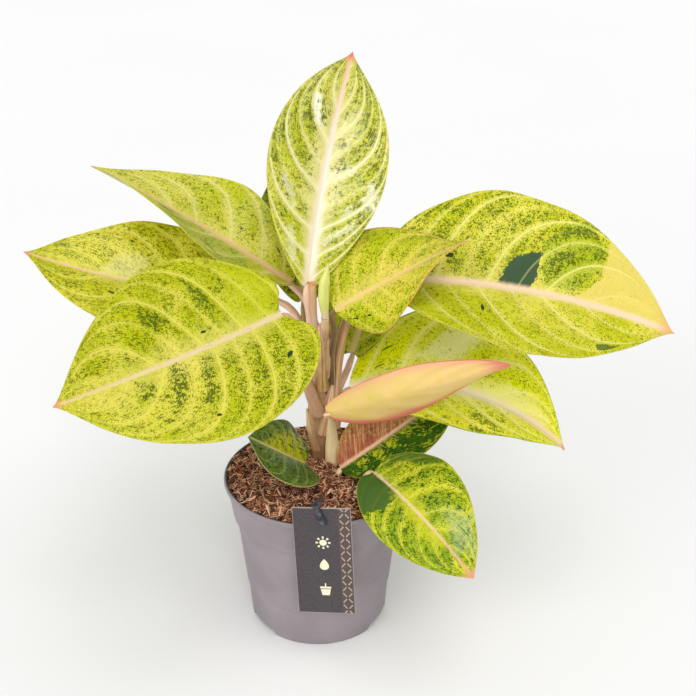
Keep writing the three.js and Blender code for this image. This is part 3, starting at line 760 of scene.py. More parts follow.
looks = {}
looks["leaf_top"] = dict(
    seed=2, quilt=1.3, gloss=0.3, coat=0.5, streak=0.5, fleck_left=-0.15, fleck_right=0.1,
    veins=(
        ((0.1, 0.21, 0.3, 0.375, 0.47, 0.565, 0.72, 0.86), (0.9, 1.0, 0.1, 1.0, 0.3, 1.0, 0.7, 0.4)),
        ((0.1, 0.215, 0.3, 0.405, 0.5, 0.585, 0.7, 0.84), (0.9, 1.0, 0.1, 1.0, 0.2, 0.9, 0.5, 0.5)),
    ),
    young=(214, 208, 90), lime=(190, 194, 30), ripe=(116, 124, 6), fleck=(80, 92, 10), vein=(230, 223, 162),
    vein_width=0.07, glow=(224, 215, 146), glow_width=0.26, glow_share=0.8, halo=0.9, minor_share=0.1,
    rib=(240, 223, 200), rib_width=3.6, rib_tip=(232, 186, 156), tip=(222, 116, 100), tip_from=0.93,
    fleck_from=0.52, flecks=0.9,
    zones=(
        # Painted glare: these pale, near-white patches stand in for highlights of the lights on the glossy
        # skin.
        pale_patch(((0.76, -0.66), (0.77, -0.48), (0.65, -0.22), (0.64, -0.34)), (244, 242, 228), 0.7, 1.5),
        pale_patch(((0.41, -0.78), (0.41, -0.66), (0.3, -0.42), (0.29, -0.54)), (236, 228, 200), 0.5),
        pale_patch(((0.21, -0.76), (0.22, -0.56), (0.1, -0.62), (0.1, -0.9)), (230, 226, 186), 0.45),
        pale_patch(((0.42, 0.1), (0.46, 0.1), (0.51, 0.52), (0.47, 0.5)), (238, 230, 190), 0.7),
        pale_patch(((0.41, 0.72), (0.46, 0.84), (0.34, 0.98), (0.33, 0.74)), (238, 234, 212), 0.6),
        pale_patch(((0.29, 0.44), (0.34, 0.56), (0.32, 0.68), (0.27, 0.5)), (236, 232, 200), 0.55),
        pale_patch(((0.14, 0.26), (0.18, 0.26), (0.28, 0.74), (0.25, 0.82)), (232, 228, 190), 0.6),
        pale_patch(((0.62, 0.04), (0.76, 0.36), (0.74, 0.58), (0.59, 0.34)), (226, 220, 150), 0.55),
        zone(((0.84, -0.94), (0.86, -0.8), (0.69, -0.1), (0.6, -0.2), (0.64, -0.8)), 0.5),
        zone(((0.63, -1.0), (0.7, -1.0), (0.47, -0.68), (0.42, -0.88)), 0.4),
        zone(((0.69, 0.62), (0.71, 0.86), (0.57, 0.9), (0.54, 0.6)), 0.3),
    ),
)
looks["leaf_upper_left"] = dict(
    seed=3, gap=0.15, gloss=0.3, coat=0.25, rib=(228, 188, 140), flecks=0.55, quilt=0.8, halo=0.5,
    young=(224, 216, 92), lime=(200, 202, 30), ripe=(134, 144, 6), ripe_share=0.8, minor_share=0.15,
    vein=(230, 224, 140), vein_share=0.8, tip_from=0.97, glow_width=0.14, glow_share=0.5,
    spots=((0.13, 0.62, 2.2, 0.8), (0.6, -0.3, 7.0, 0.7), (0.47, -0.55, 5.0, 0.6), (0.36, -0.7, 6.0, 0.6)),
    zones=(
        pale_patch(((0.66, -0.1), (0.2, -0.1), (0.2, -1.0), (0.6, -1.0)), (132, 156, 60), 0.45, 3.0, 0.25),
    ),
)
looks["leaf_far_left"] = dict(
    seed=4, gap=0.15, streak=0.5, flecks=0.6, gloss=0.3, coat=0.2, rib=(228, 198, 142), halo=0.35,
    young=(224, 214, 72), lime=(200, 198, 14), glow_width=0.16, glow_share=0.5,
    spots=((0.2, -0.42, 3.4, 1.1), (0.61, -0.36, 2.6, 0.9)),
    zones=(
        # Painted glare: these two pale cream patches stand in for a highlight on the gloss.
        pale_patch(((0.68, 0.02), (0.55, 0.02), (0.5, 0.4), (0.62, 0.44)), (238, 232, 178), 0.32, 4.0, -0.2),
        pale_patch(((0.5, 0.02), (0.42, 0.02), (0.36, 0.3), (0.45, 0.36)), (232, 224, 150), 0.28, 4.0, -0.1),
    ),
)
looks["leaf_front_left"] = dict(
    seed=5, rib=(228, 206, 160), rib_width=1.8, rib_taper=0.55, rib_tip=(226, 200, 136), tip=(214, 160, 96),
    veins=(
        ((0.045, 0.15, 0.24, 0.33, 0.43, 0.55, 0.7, 0.84), (0.6, 1.0, 0.35, 1.0, 0.5, 0.9, 0.3, 0.2)),
        ((0.055, 0.18, 0.27, 0.365, 0.46, 0.575, 0.75, 0.86), (0.5, 1.0, 0.25, 1.0, 0.2, 0.9, 0.3, 0.2)),
    ),
    flecks=0.5, minor_share=0.2, halo=0.5, glow_width=0.14, glow_share=0.55, streak=0.6, fleck_size=0.9,
    spots=((0.345, 0.16, 1.6, 0.7), (0.14, -0.62, 1.9, 1.4), (0.49, -0.72, 1.3, 0.8)),
    zones=(
        zone(((0.33, 0.78), (0.27, 0.7), (0.25, 0.36), (0.32, 0.34)), 0.7),
        zone(((0.21, 0.78), (0.16, 0.74), (0.18, 0.54), (0.24, 0.54)), 0.65),
        zone(((0.56, 0.7), (0.44, 0.54), (0.45, 0.34), (0.56, 0.4)), 0.65),
        zone(((0.73, 0.54), (0.64, 0.36), (0.61, 0.1), (0.68, 0.2)), 0.7),
        zone(((0.53, 0.0), (0.47, -0.1), (0.55, -0.48), (0.62, -0.58)), 0.8),
        zone(((0.42, -0.08), (0.36, -0.12), (0.45, -0.52), (0.51, -0.6)), 0.8),
        zone(((0.69, -0.06), (0.61, -0.16), (0.64, -0.4), (0.71, -0.34)), 0.6),
        zone(((0.36, -0.1), (0.04, -0.3), (0.1, -1.0), (0.45, -1.0)), 0.35),
        pale_patch(((0.19, 0.88), (0.04, 1.0), (0.03, 0.06), (0.18, 0.12)), (188, 196, 12), 0.5, 5.0, -0.2),
        pale_patch(
            ((0.84, 0.3), (0.62, 0.06), (0.74, -0.46), (0.86, -0.5)), (220, 210, 92), 0.35, 5.0, -0.15,
        ),
    ),
)
looks["leaf_right"] = dict(
    seed=6, rib=(238, 208, 172), rib_width=3.0, rib_taper=0.4, rib_tip=(244, 212, 184), tip=(224, 176, 110),
    tip_from=0.9, drift=0.005,
    veins=(
        ((0.06, 0.155, 0.24, 0.325, 0.425, 0.52, 0.67, 0.82), (0.6, 1.0, 0.2, 1.0, 0.6, 0.95, 0.5, 0.3)),
        ((0.09, 0.19, 0.29, 0.4, 0.505, 0.655, 0.8), (0.7, 0.4, 1.0, 0.4, 1.0, 0.5, 0.3)),
    ),
    young=(224, 214, 78), lime=(196, 198, 14), fleck_left=0.1, fleck_right=-0.6, vein=(230, 224, 124),
    margin=(196, 190, 76), minor_share=0.12, halo=0.4, glow_width=0.12, glow_share=0.5,
    zones=(
        zone(
            (
                (0.5, -0.58), (0.62, -1.02), (0.69, -0.8), (0.7, -0.56), (0.62, -0.13), (0.52, -0.1),
                (0.5, -0.28),
            ),
            0.38, (150, 172, 14), 0.5, ragged=1.2, soft=0.8, veil=0.1,
        ),
        zone(
            ((0.69, -1.2), (0.705, 0.05), (1.02, 0.05), (1.02, -1.2)), -1.4, (228, 203, 112), 0.7, ragged=1.6,
            soft=1.4,
        ),
        zone(
            ((0.632, -0.05), (0.708, -0.45), (0.71, 0.05)), -1.4, (228, 203, 112), 0.7, ragged=1.6, soft=0.8,
        ),
        zone(
            (
                (0.498, -0.43), (0.47, -0.43), (0.42, -0.345), (0.397, -0.27), (0.366, -0.05), (0.38, -0.02),
                (0.47, -0.02), (0.484, -0.1),
            ),
            -1.4, (60, 84, 56), 1.0, ragged=1.5, soft=0.25, veil=0.45,
        ),
        zone(
            ((0.7, 0.79), (0.73, 0.77), (0.79, 0.86), (0.78, 0.9), (0.74, 0.92), (0.71, 0.88)), 0.0,
            (76, 100, 36), 0.85, ragged=1.6, soft=0.5, veil=0.5,
        ),
    ),
    spots=((0.207, -0.32, 2.6, 1.6), (0.305, 0.42, 1.0, 2.6)),
)
looks["leaf_centre_right"] = dict(
    seed=7, rib=(226, 196, 124), rib_width=1.5, rib_taper=0.4, gap=0.15, margin=(224, 156, 90),
    margin_share=0.8, flecks=0.4, halo=0.35, young=(220, 206, 70), lime=(184, 192, 16), vein_share=0.6,
    minor_share=0.12, tip=(230, 196, 140), glow_width=0.2, glow=(226, 200, 104), glow_share=0.5,
    spots=((0.1, 0.6, 1.6, 1.0), (0.2, 0.55, 1.4, 0.9)),
)
looks["leaf_lower_right"] = dict(
    seed=8, gap=0.15, flecks=0.6, young=(252, 244, 66), lime=(238, 242, 0), ripe=(192, 202, 0), gloss=0.3,
    coat=0.12, vein=(255, 252, 150), fleck=(92, 112, 0), rib=(255, 236, 200), rib_width=4.0, rib_taper=0.4,
    halo=0.7, rib_tip=(255, 224, 176), glow=(255, 246, 150), glow_width=0.24, glow_share=0.6,
    margin=(120, 142, 30), margin_share=0.6,
    zones=(
        # Painted glare: these two pale patches stand in for highlights on the gloss.
        pale_patch(((0.26, -0.36), (0.42, -0.78), (0.55, -0.86), (0.42, -0.3)), (255, 252, 200), 0.6, 4.0),
        pale_patch(((0.52, -0.08), (0.66, -0.34), (0.88, -0.5), (0.84, 0.06)), (255, 246, 150), 0.6, 3.0),
        zone(((0.52, 0.4), (0.66, 0.5), (0.61, 1.0), (0.48, 1.0)), 0.8),
    ),
    spots=((0.17, -0.6, 4.0, 0.6), (0.13, -0.35, 3.2, 0.5)),
)
looks["leaf_rear_right"] = dict(seed=14, flecks=1.0, young=(206, 208, 60), lime=(176, 192, 10))
looks["leaf_young"] = dict(
    seed=9, gap=0.18, vein_share=0.4, minor_share=0.05, flecks=0.25, quilt=0.9, keel=0.0,
    under=(234, 199, 128), under_edge=(236, 182, 136), margin=(214, 104, 92), margin_share=0.9,
    rib=(236, 198, 130), rib_width=0.6, tip=(220, 126, 108), tip_from=0.82, blush=(222, 116, 100),
    blush_right=0.12, blush_left=1.0, mottle=(206, 196, 60), slot="leaf_peach",
)
looks["leaf_folded"] = dict(
    seed=10, young=(60, 104, 16), lime=(44, 90, 16), ripe=(24, 62, 14), fleck=(196, 204, 44), flecks=0.9,
    fleck_size=0.65, streak=0.4, vein_share=0.0, minor_share=0.0, rib=(240, 196, 164), rib_width=1.5,
    rib_taper=0.3, left_tint=(168, 88, 66), left_share=0.95, halo=0.0, glow=(226, 214, 130), glow_width=0.0,
    glow_share=0.9, zones=(zone(((0.0, 0.0), (1.0, 0.0), (0.85, 0.3), (0.0, 0.45)), 0.6),), slot="leaf_dark",
)
looks["leaf_bottom_right"] = dict(
    seed=11, young=(204, 206, 44), lime=(136, 162, 14), ripe=(58, 94, 14), ripe_share=0.95,
    fleck=(40, 76, 22), streak=0.4, fleck_size=0.8, vein=(206, 212, 96), vein_share=0.5, minor_share=0.15,
    rib=(226, 200, 156), rib_width=0.9, rib_taper=0.2, rib_tip=(226, 160, 130), tip=(224, 150, 122),
    tip_from=0.93,
    zones=(
        zone(
            ((-0.05, -0.04), (-0.05, 1.15), (0.25, 1.15), (0.31, 0.5), (0.28, 0.0)), -1.0, (64, 98, 42), 0.94,
            soft=0.5, veil=0.85,
        ),
        zone(
            ((0.03, -1.1), (0.32, -1.1), (0.32, -0.9), (0.27, -0.76), (0.06, -0.66)), 0.0, (76, 108, 36), 0.8,
            soft=1.2, veil=0.4,
        ),
        pale_patch(((0.24, 0.1), (0.32, -0.2), (0.73, 0.0), (0.76, 0.4)), (206, 206, 40), 0.6, 4.0, -0.2),
        # Painted sheen: this pale grey-green patch stands in for light reflected off the blade.
        pale_patch(
            ((0.58, -0.4), (0.74, -0.94), (0.9, -0.84), (0.82, -0.1)), (168, 184, 136), 0.45, 4.0, 0.0,
        ),
    ),
    slot="leaf_dark",
)
looks["leaf_soil_left"] = dict(
    seed=12, gap=0.14, young=(124, 148, 50), lime=(84, 118, 34), ripe=(36, 62, 18), ripe_share=0.9,
    vein=(190, 198, 104), fleck=(40, 64, 22), flecks=0.7, streak=0.5, gloss=0.26, coat=0.35, halo=0.1,
    vein_share=0.55, vein_width=0.035, rib=(216, 202, 140), rib_width=0.9, rib_taper=0.2,
    rib_tip=(206, 206, 140), tip=(150, 150, 90), margin=(196, 180, 120), margin_share=0.7,
    zones=(
        pale_patch(
            ((0.7, 0.03), (0.6, 0.4), (0.12, 0.92), (0.0, 0.6), (0.0, 0.03)), (204, 204, 24), 0.72, 3.5, 0.25,
        ),
    ),
    slot="leaf_dark",
)
looks["leaf_back"] = dict(seed=13, young=(112, 134, 30), ripe=(66, 92, 24), fleck=(44, 70, 20), flecks=1.0)


def zone_mask(area, u, v, length, half, ragged):
    """One inside a convex outline in the blade's own map and zero outside: the least of
    the distances in millimetres to its sides, roughened by noise."""
    corners = [(a * length, b * half) for a, b in area["corners"]]
    middle = np.mean(corners, axis=0)
    least = None
    for (a, b), (c, d) in zip(corners, corners[1:] + corners[:1]):
        side = math.hypot(c - a, d - b)
        slope_u, slope_v = -(d - b) / side, (c - a) / side
        level = -(slope_u * a + slope_v * b)
        sign = math.copysign(1, slope_u * middle[0] + slope_v * middle[1] + level)
        inside = u * (sign * slope_u * length) + v * (sign * slope_v * half) + sign * level
        least = inside if least is None else least.math("MINIMUM", inside)
    least = least + (ragged - 0.5) * (4 * area["ragged"])
    return least.above(-area["soft"], area["soft"])


def fleck_grain(made, look, lane, offset, right):
    """Grains of noise, round or, where the look has a streak, drawn out along the veins."""
    if look["streak"] == 1.0:
        grain = made.noise(1000 / look["fleck_size"], 1.5, 0.7)
    else:
        place = made.vector(lane, offset * look["streak"], right * 9)
        grain = made.noise(1.1 / look["fleck_size"], 1.5, 0.6, place)
    return grain * 0.85 + made.noise(420, 2.0, 0.6) * 0.7 - 0.275


def strand_colour(made, ground, lane, grain):
    """Brown underside tissue with pale and dark strands along the lane, and yellow grains."""
    strand = made.noise(0.6, 3.0, 0.6, lane)
    return made.paint(
        ground,
        ((218, 160, 112), strand.above(0.46, 0.66) * 0.8),
        ((134, 66, 50), strand.above(0.46, 0.32) * 0.7),
        ((206, 188, 84), grain.above(0.42, 0.72) * 0.75),
    )


def blade_finish(name, leaf, look):
    """Glossy leaf skin. Side veins lie where the vein phase is whole. Flecks are grains of
    noise, crowded in the bellies between veins; zones and spots are laid over them, and
    midrib, margin and tip come last. The underside is plainer."""
    made = Finish(name, Specular_IOR_Level=look["shine"], Coat_Weight=look["coat"], Coat_Roughness=0.16)
    length, half = leaf["length"] * 1000, (leaf["left"] + leaf["right"]) * 500
    u, v, face = made.read("blade").parts()
    phase, offset, strength = made.read("veins").parts()
    reach, away = v.size(), offset.size()
    right = v.above(-0.001, 0.001)
    slow = made.noise(30, 2.0)
    patchy = made.noise(85, 3.0, 0.6)
    ragged = made.noise(330, 3.0, 0.65)
    zones = [(area, zone_mask(area, u, v, length, half, ragged)) for area in look["zones"]]

    def from_vein(shift):
        """Zero on a vein, or on the line midway between veins, and one half a gap away."""
        return ((phase + 0.5 + shift).math("FRACT") - 0.5).size() * 2

    def by_side(key):
        """The look's value for the right half on the right, and for the left on the left."""
        return right * look[key + "_right"] + (1 - right) * look[key + "_left"]

    near = from_vein(0.0)
    width = (1 + reach * reach * 0.6) * look["vein_width"]
    fade = reach.above(1.02, 0.85)
    for area, mask in zones:
        if area["veil"]:
            fade = fade * (1 - mask * area["veil"])
    vein = near.above(width * 1.9, width * 0.5) * strength * fade
    minor = from_vein(0.5).above(width * 1.3, width * 0.2) * patchy.above(0.4, 0.6) * fade
    belly = near.above(width, 0.55)
    rib_reach = (1 - u * look["rib_taper"]) * look["rib_width"]
    rib_far = away.above(rib_reach, rib_reach + 6.0)

    grain = fleck_grain(made, look, phase * (0.13 * length), offset, right)
    crowd = (patchy.above(0.36, 0.64) * 0.75 + 0.25) * (belly * 0.75 + 0.25)
    crowd = crowd * (rib_far * 0.7 + 0.3) * look["flecks"] + by_side("fleck") * belly
    if look["fleck_from"]:
        crowd = crowd - (reach * 0.25 + u).above(look["fleck_from"], 0.05) * 0.6
    for area, mask in zones:
        crowd = crowd + mask * area["crowd"] * (belly * 0.8 + 0.2)
    fleck = (grain + crowd * 0.22).above(0.65, 0.80)
    fine = made.noise(1500, 1.0)
    shade = slow * 0.4 + ragged * 0.3 + crowd * 0.35 + (grain - 0.5) * 2.4 + (fine - 0.5) * 2.8
    tide = (slow * 0.9 + patchy * 0.5 - u * 0.15 + belly * 0.15).above(0.5, 0.9)
    glow = (reach + patchy * 0.3 - vein * 0.2).above(look["glow_width"] + 0.34, look["glow_width"])
    edge = (reach + (1 - u).above(0.12, 0.0) * 0.05).above(0.965, 0.995)
    rib = (away + (ragged - 0.5) * 1.6).above(rib_reach * 1.9, rib_reach * 0.3)
    rib = rib * (patchy * 0.3 + 0.8).limited()
    rib_colour = made.paint(look["rib"], (look["rib_tip"], u.above(0.5, 1.0)))
    margin = (look["margin"], edge * look["margin_share"])
    tip = (look["tip"], u.above(look["tip_from"], 0.99))

    upper = [
        (look["lime"], tide),
        (look["ripe"], shade.above(0.27, 0.93) * look["ripe_share"]),
        (look["glow"], glow * look["glow_share"] * u.above(1.05, 0.45)),
        (look["vein"], near.above(0.5, 0.0) * strength * (look["halo"] * 0.7)),
        # Zone colours: mostly the leaf's own patches, and on some leaves painted glare and sheen.
        *[(area["colour"], mask * area["share"]) for area, mask in zones if area["colour"]],
        (look["fleck"], fleck * 0.85),
        (look["vein"], minor * look["minor_share"]),
        (look["vein"], vein * look["vein_share"]),
    ]
    if look["left_tint"]:
        lane = made.vector(offset * 0.1, u * length + offset * 0.6, 3.0)
        brown = strand_colour(made, look["left_tint"], lane, grain + (reach * 0.5 + u - 0.6) * 0.6)
        upper.append((brown, (1 - right) * look["left_share"]))
    for place_u, place_v, long, wide in look["spots"]:
        along, across = (u - place_u) * (length / long), (v - place_v) * (half / wide)
        spot = along * along + across * across + (ragged - 0.5) * 3
        upper.append((spot_green, spot.above(1.25, 0.8)))
    upper += [margin, (rib_colour, rib), tip]

    lower = [(look["under_edge"], (reach + u * 0.2).above(0.75, 1.1))]
    if look["mottle"]:
        cloud = (patchy + slow * 0.5).above(0.64, 1.0) * 0.42
        lower.append((look["mottle"], cloud * reach.above(0.9, 0.4)))
    if look["blush"]:
        lower.append((look["blush"], (reach + (slow - 0.5) * 0.3).above(0.54, 0.94) * by_side("blush")))
    lower += [(look["vein"], vein * 0.4), margin, (rib_colour, rib * 0.8), tip]

    below = made.paint(look["under"], *lower)
    colour = made.paint(below, (made.paint(look["young"], *upper), face.above(0.4, 0.6)))
    relief = made.noise(1300, 2.0) * 0.3 + (1 - vein) * 0.6 + ragged * 0.5
    return made.done(colour, look["gloss"] + 0.12 * patchy + 0.1 * vein, relief, 0.00022)


for node, leaf in leaves.items():
    look = {**plain_look, **looks[node]}
    blade = add_piece(node.replace("leaf", "blade"), *build_blade(leaf, look), crease=60)
    blade.data.materials.append(blade_finish(blade.name + "_skin", leaf, look))
    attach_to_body(blade, "root")
    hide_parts(node)

# Stems and stalks: the old stem wrapped in sheaths, and fleshy stalks with a channel on
# the side that faces the stem. Each stalk's neck runs on into its blade's midrib.
neck_radius = 0.0023
neck_length = 0.007
stalk_sides = 40
stalk_bump_height = 0.00025
stalk_bump_size = 0.0035
stalks = {
    "leaf_top": dict(
        path=[(0.002, 0.012, 0.168), (-0.0006, 0.01, 0.196), (-0.0036, 0.007, 0.216)],
        girths=[0.0052, 0.0052, 0.0046], thin=1.35,
        skin=dict(low=(232, 184, 152), high=(254, 218, 190), dark=(214, 158, 128)),
    ),
    "leaf_upper_left": dict(
        path=[(0.001, 0.014, 0.172), (-0.002, 0.016, 0.196), (-0.006, 0.019, 0.215)],
        girths=[0.0044, 0.0036, 0.0029], skin=dict(low=(214, 172, 142), high=(238, 198, 168)),
    ),
    "leaf_far_left": dict(
        path=[(0, 0.016, 0.16), (-0.005, 0.02, 0.186), (-0.014, 0.024, 0.206)],
        girths=[0.0046, 0.0036, 0.0029],
        skin=dict(low=(212, 168, 138), high=(238, 200, 172), dark=(176, 120, 92)),
    ),
    "leaf_front_left": dict(
        path=[(0.002, 0.012, 0.142), (-0.004, 0.003, 0.164), (-0.009, -0.008, 0.188)],
        girths=[0.0054, 0.0046, 0.0032],
        skin=dict(low=(204, 160, 128), high=(234, 194, 158), dark=(150, 108, 80)),
    ),
    "leaf_right": dict(
        path=[(0.01, 0.012, 0.152), (0.013, 0.013, 0.18), (0.019, 0.014, 0.204), (0.029, 0.012, 0.223)],
        girths=[0.0044, 0.0044, 0.0038, 0.0032],
        skin=dict(
            low=(206, 164, 118), high=(234, 196, 142), dark=(164, 122, 84), edge=(240, 190, 174), edge_at=1.1,
        ),
    ),
    "leaf_centre_right": dict(
        path=[(0.008, 0.01, 0.156), (0.009, 0.008, 0.182), (0.0115, 0.006, 0.202)],
        girths=[0.0046, 0.0042, 0.003], neck=0.003, opening=(-0.1, -1, 0), groove=[0.8, 0.8, 0.7, 0.2, 0.1],
        mouth=1.0,
        skin=dict(
            low=(108, 84, 58), high=(156, 128, 80), dark=(66, 48, 32), edge=(216, 176, 146), edge_at=1.25,
        ),
    ),
    "leaf_lower_right": dict(
        path=[(0.011, 0.014, 0.13), (0.013, 0.013, 0.139), (0.0155, 0.012, 0.147)],
        girths=[0.004, 0.0036, 0.003], neck=0.004,
        skin=dict(low=(220, 176, 142), high=(240, 204, 168), dots=0.9),
    ),
    "leaf_rear_right": dict(
        path=[(0.008, 0.018, 0.134), (0.012, 0.024, 0.147), (0.018, 0.03, 0.159)],
        girths=[0.0042, 0.0034, 0.0029], skin=dict(low=(216, 170, 144), high=(238, 198, 172), dots=0.9),
    ),
    "leaf_back": dict(
        path=[(0.002, 0.018, 0.168), (-0.003, 0.021, 0.188), (-0.007, 0.023, 0.2)],
        girths=[0.0042, 0.0034, 0.0028], skin=dict(low=(150, 130, 80), high=(170, 160, 90)),
    ),
    "leaf_young": dict(
        path=[(0.0095, 0.013, 0.08), (0.0095, 0.013, 0.104), (0.0095, 0.008, 0.126), (0.009, -0.008, 0.148)],
        girths=[0.0042, 0.0048, 0.0046, 0.0032], node="front_shoot", slot="pale_shoot", thin=0.7, neck=0.003,
        hold=0.015, skin=dict(low=(255, 232, 186), high=(255, 226, 176), dark=(240, 200, 150)),
    ),
    "leaf_folded": dict(
        path=[(0.013, -0.001, 0.082), (0.013, -0.001, 0.097)], girths=[0.0026, 0.0026], neck=0.003,
        node="stalk_folded", slot="pale_shoot",
    ),
    "leaf_bottom_right": dict(
        path=[(0.025, -0.021, 0.082), (0.025, -0.021, 0.099), (0.029, -0.022, 0.11)],
        girths=[0.0024, 0.0024, 0.0022], neck=0.005, node="stalk_bottom_right", slot="pale_shoot",
    ),
    "leaf_soil_left": dict(
        path=[(-0.003, 0.006, 0.082), (-0.003, 0.006, 0.098)], girths=[0.0022, 0.0022], neck=0.003,
        node="stalk_soil_left", slot="pale_shoot",
    ),
}
clump = {
    "main_stem": dict(
        path=[
            (0.001, 0.019, 0.078), (0.001, 0.019, 0.104), (0, 0.017, 0.13), (0.001, 0.015, 0.15),
            (0.005, 0.012, 0.178), (0.004, 0.009, 0.203),
        ],
        girths=[0.0042, 0.0048, 0.0056, 0.0068, 0.0062, 0.0042], opening=(0, -1, 0),
        skin=dict(
            low=(158, 118, 84), high=(236, 194, 150), dark=(108, 72, 50), edge=(140, 90, 64), edge_at=1.15,
        ),
    ),
    "sheath_left": dict(
        path=[(0.001, 0.018, 0.112), (-0.002, 0.016, 0.127), (-0.006, 0.014, 0.142)],
        girths=[0.0054, 0.005, 0.0012], opening=(0.8, -0.6, 0.2), groove=[0.3, 0.7, 0.5],
        skin=dict(low=(184, 142, 104), high=(228, 190, 148), dark=(108, 74, 52), edge_at=1.2),
    ),
    "sheath_right": dict(
        path=[(0.003, 0.014, 0.126), (0.006, 0.01, 0.142), (0.01, 0.007, 0.163)],
        girths=[0.0054, 0.005, 0.0012], opening=(-0.8, -0.5, 0.2), groove=[0.3, 0.7, 0.5],
        skin=dict(low=(208, 168, 124), high=(244, 206, 168), dark=(128, 90, 60), edge_at=1.2),
    ),
    "sheath_top": dict(
        path=[(0.0045, 0.0095, 0.16), (0.0045, 0.0075, 0.184), (0.003, 0.004, 0.206)],
        girths=[0.0054, 0.005, 0.0018], opening=(0.9, -0.5, 0.1), groove=[0.3, 0.75, 0.5],
        skin=dict(
            low=(200, 164, 100), high=(246, 200, 168), dark=(130, 90, 56), edge=(150, 96, 66), edge_at=1.2,
        ),
    ),
    "spear_socket": dict(
        path=[(0.005, 0.008, 0.196), (0.006, 0.003, 0.207), (0.0062, 0, 0.213)],
        girths=[0.0032, 0.0028, 0.0022], opening=(0, 0, 1),
        skin=dict(low=(210, 166, 134), high=(236, 206, 160), dark=(136, 92, 66)),
    ),
    "cut_stub": dict(
        path=[(0, 0.009, 0.196), (-0.001, 0.004, 0.216), (-0.0013, 0.002, 0.235)],
        girths=[0.0026, 0.002, 0.0021], opening=(1, 0, 0), crease=40,
    ),
}


def smooth_path(knots, steps_each=14):
    """Points of a centripetal Catmull-Rom curve through the knots, whose ends are mirrored
    outward, spaced evenly by length."""
    knots = np.array(knots, float)
    knots = np.concatenate([[2 * knots[0] - knots[1]], knots, [2 * knots[-1] - knots[-2]]])
    gaps = np.sqrt(np.linalg.norm(np.diff(knots, axis=0), axis=1))
    t = np.linspace(0, 1, 33)[:, None]
    pieces = []
    for (a, b, c, d), (before, here, after) in zip(
        zip(knots, knots[1:], knots[2:], knots[3:]), zip(gaps, gaps[1:], gaps[2:])
    ):
        start = here * ((b - a) / before - (c - a) / (before + here) + (c - b) / here)
        end = here * ((c - b) / here - (d - b) / (here + after) + (d - c) / after)
        square = (3 * (c - b) - 2 * start - end) * t**2
        pieces.append(b + start * t + square + (2 * (b - c) + start + end) * t**3)
    fine = np.concatenate([pieces[0][:1], *[piece[1:] for piece in pieces]])
    length = np.concatenate([[0], np.cumsum(np.linalg.norm(np.diff(fine, axis=0), axis=1))])
    even = np.linspace(0, length[-1], (len(knots) - 3) * steps_each + 1)
    return np.stack([np.interp(even, length, values) for values in fine.T], axis=-1)


def build_stalk(knots, girths, open_towards, groove, mouth=0.7):
    """A rod along a smooth path. Its section is a circle less a bell-shaped channel on the
    open side, mouth radians wide, whose depth share runs over groove's values."""
    path = smooth_path(knots)
    count = len(path)
    share = np.linspace(0, 1, count)
    ahead = unit(np.gradient(path, axis=0))
    radius = np.interp(share, np.linspace(0, 1, len(girths)), girths)
    depth = np.interp(share, np.linspace(0, 1, len(groove)), groove)
    opening = np.array(open_towards, float) * np.ones((count, 1))
    opening = unit(opening - ahead * np.sum(opening * ahead, axis=1, keepdims=True))
    across = np.cross(ahead, opening)
    angle = np.linspace(-np.pi, np.pi, stalk_sides, endpoint=False)
    channel = 1 - depth[:, None] * np.exp(-((angle / mouth) ** 2))
    size = (radius[:, None] * channel)[..., None]
    round_it = opening[:, None] * np.cos(angle)[:, None] + across[:, None] * np.sin(angle)[:, None]
    rings = path[:, None] + size * round_it
    bumps = lumps(rings * (1, 1, 0.25), stalk_bump_size, 77)
    rings = rings + stalk_bump_height * bumps[..., None] * round_it
    points, faces = capped(rings)
    length = np.linalg.norm(path[-1] - path[0])
    share = np.repeat(share, stalk_sides)
    skin = np.stack([share * length * 1000, np.tile(angle, count), share], -1)
    skin = np.concatenate([skin, skin[[0, -1]]])
    return points, faces, {"skin": skin}


def stem_finish(name, low, high, dark=(150, 108, 80), edge=(176, 112, 88), edge_at=0.0, dots=0.0):
    """Fleshy stalk skin, from the low to the high colour up the stalk, with fine lengthwise
    streaks, painted shade in the channel, a dry margin along its lips and, if asked, dark dots."""
    made = Finish(name, Specular_IOR_Level=0.4, Coat_Weight=0.05, Coat_Roughness=0.3)
    along, angle, share = made.read("skin").parts()
    streak = made.noise(2.2, 3.0, 0.6, place=made.vector(along * 0.05, angle * 1.6, 0.0))
    climb = share + (made.noise(120, 2.0) - 0.5) * 0.7
    layers = [
        (high, climb.above(0.1, 0.9)),
        (dark, streak.above(0.5, 0.72) * 0.4),
        # Painted shade: the dark colour laid into the channel on the open side.
        (dark, angle.size().above(0.9, 0.2) * 0.35),
    ]
    if edge_at:
        lip = (angle.size() - edge_at + (streak - 0.5) * 0.25).size()
        layers.append((edge, lip.above(0.16, 0.05) * 0.7))
    if dots:
        layers.append(((70, 48, 40), made.noise(420, 0.0).above(0.78, 0.8) * dots))
    return made.done(made.paint(low, *layers), 0.45 + 0.12 * streak, streak, 0.00025)


def stub_finish(name):
    """Tan-brown stub, browner upward, with a flat dry orange-brown cut across its top."""
    made = Finish(name, Specular_IOR_Level=0.3)
    along, angle, share = made.read("skin").parts()
    streak = made.noise(2.2, 3.0, 0.6, place=made.vector(along * 0.05, angle * 1.6, 0.0))
    colour = made.paint(
        (226, 190, 160),
        ((216, 174, 128), share.above(0.3, 0.8)),
        ((176, 126, 86), streak.above(0.5, 0.72) * 0.5),
        ((214, 152, 92), share.above(0.965, 0.99)),
    )
    return made.done(colour, 0.5 + 0.12 * streak, streak, 0.00025)


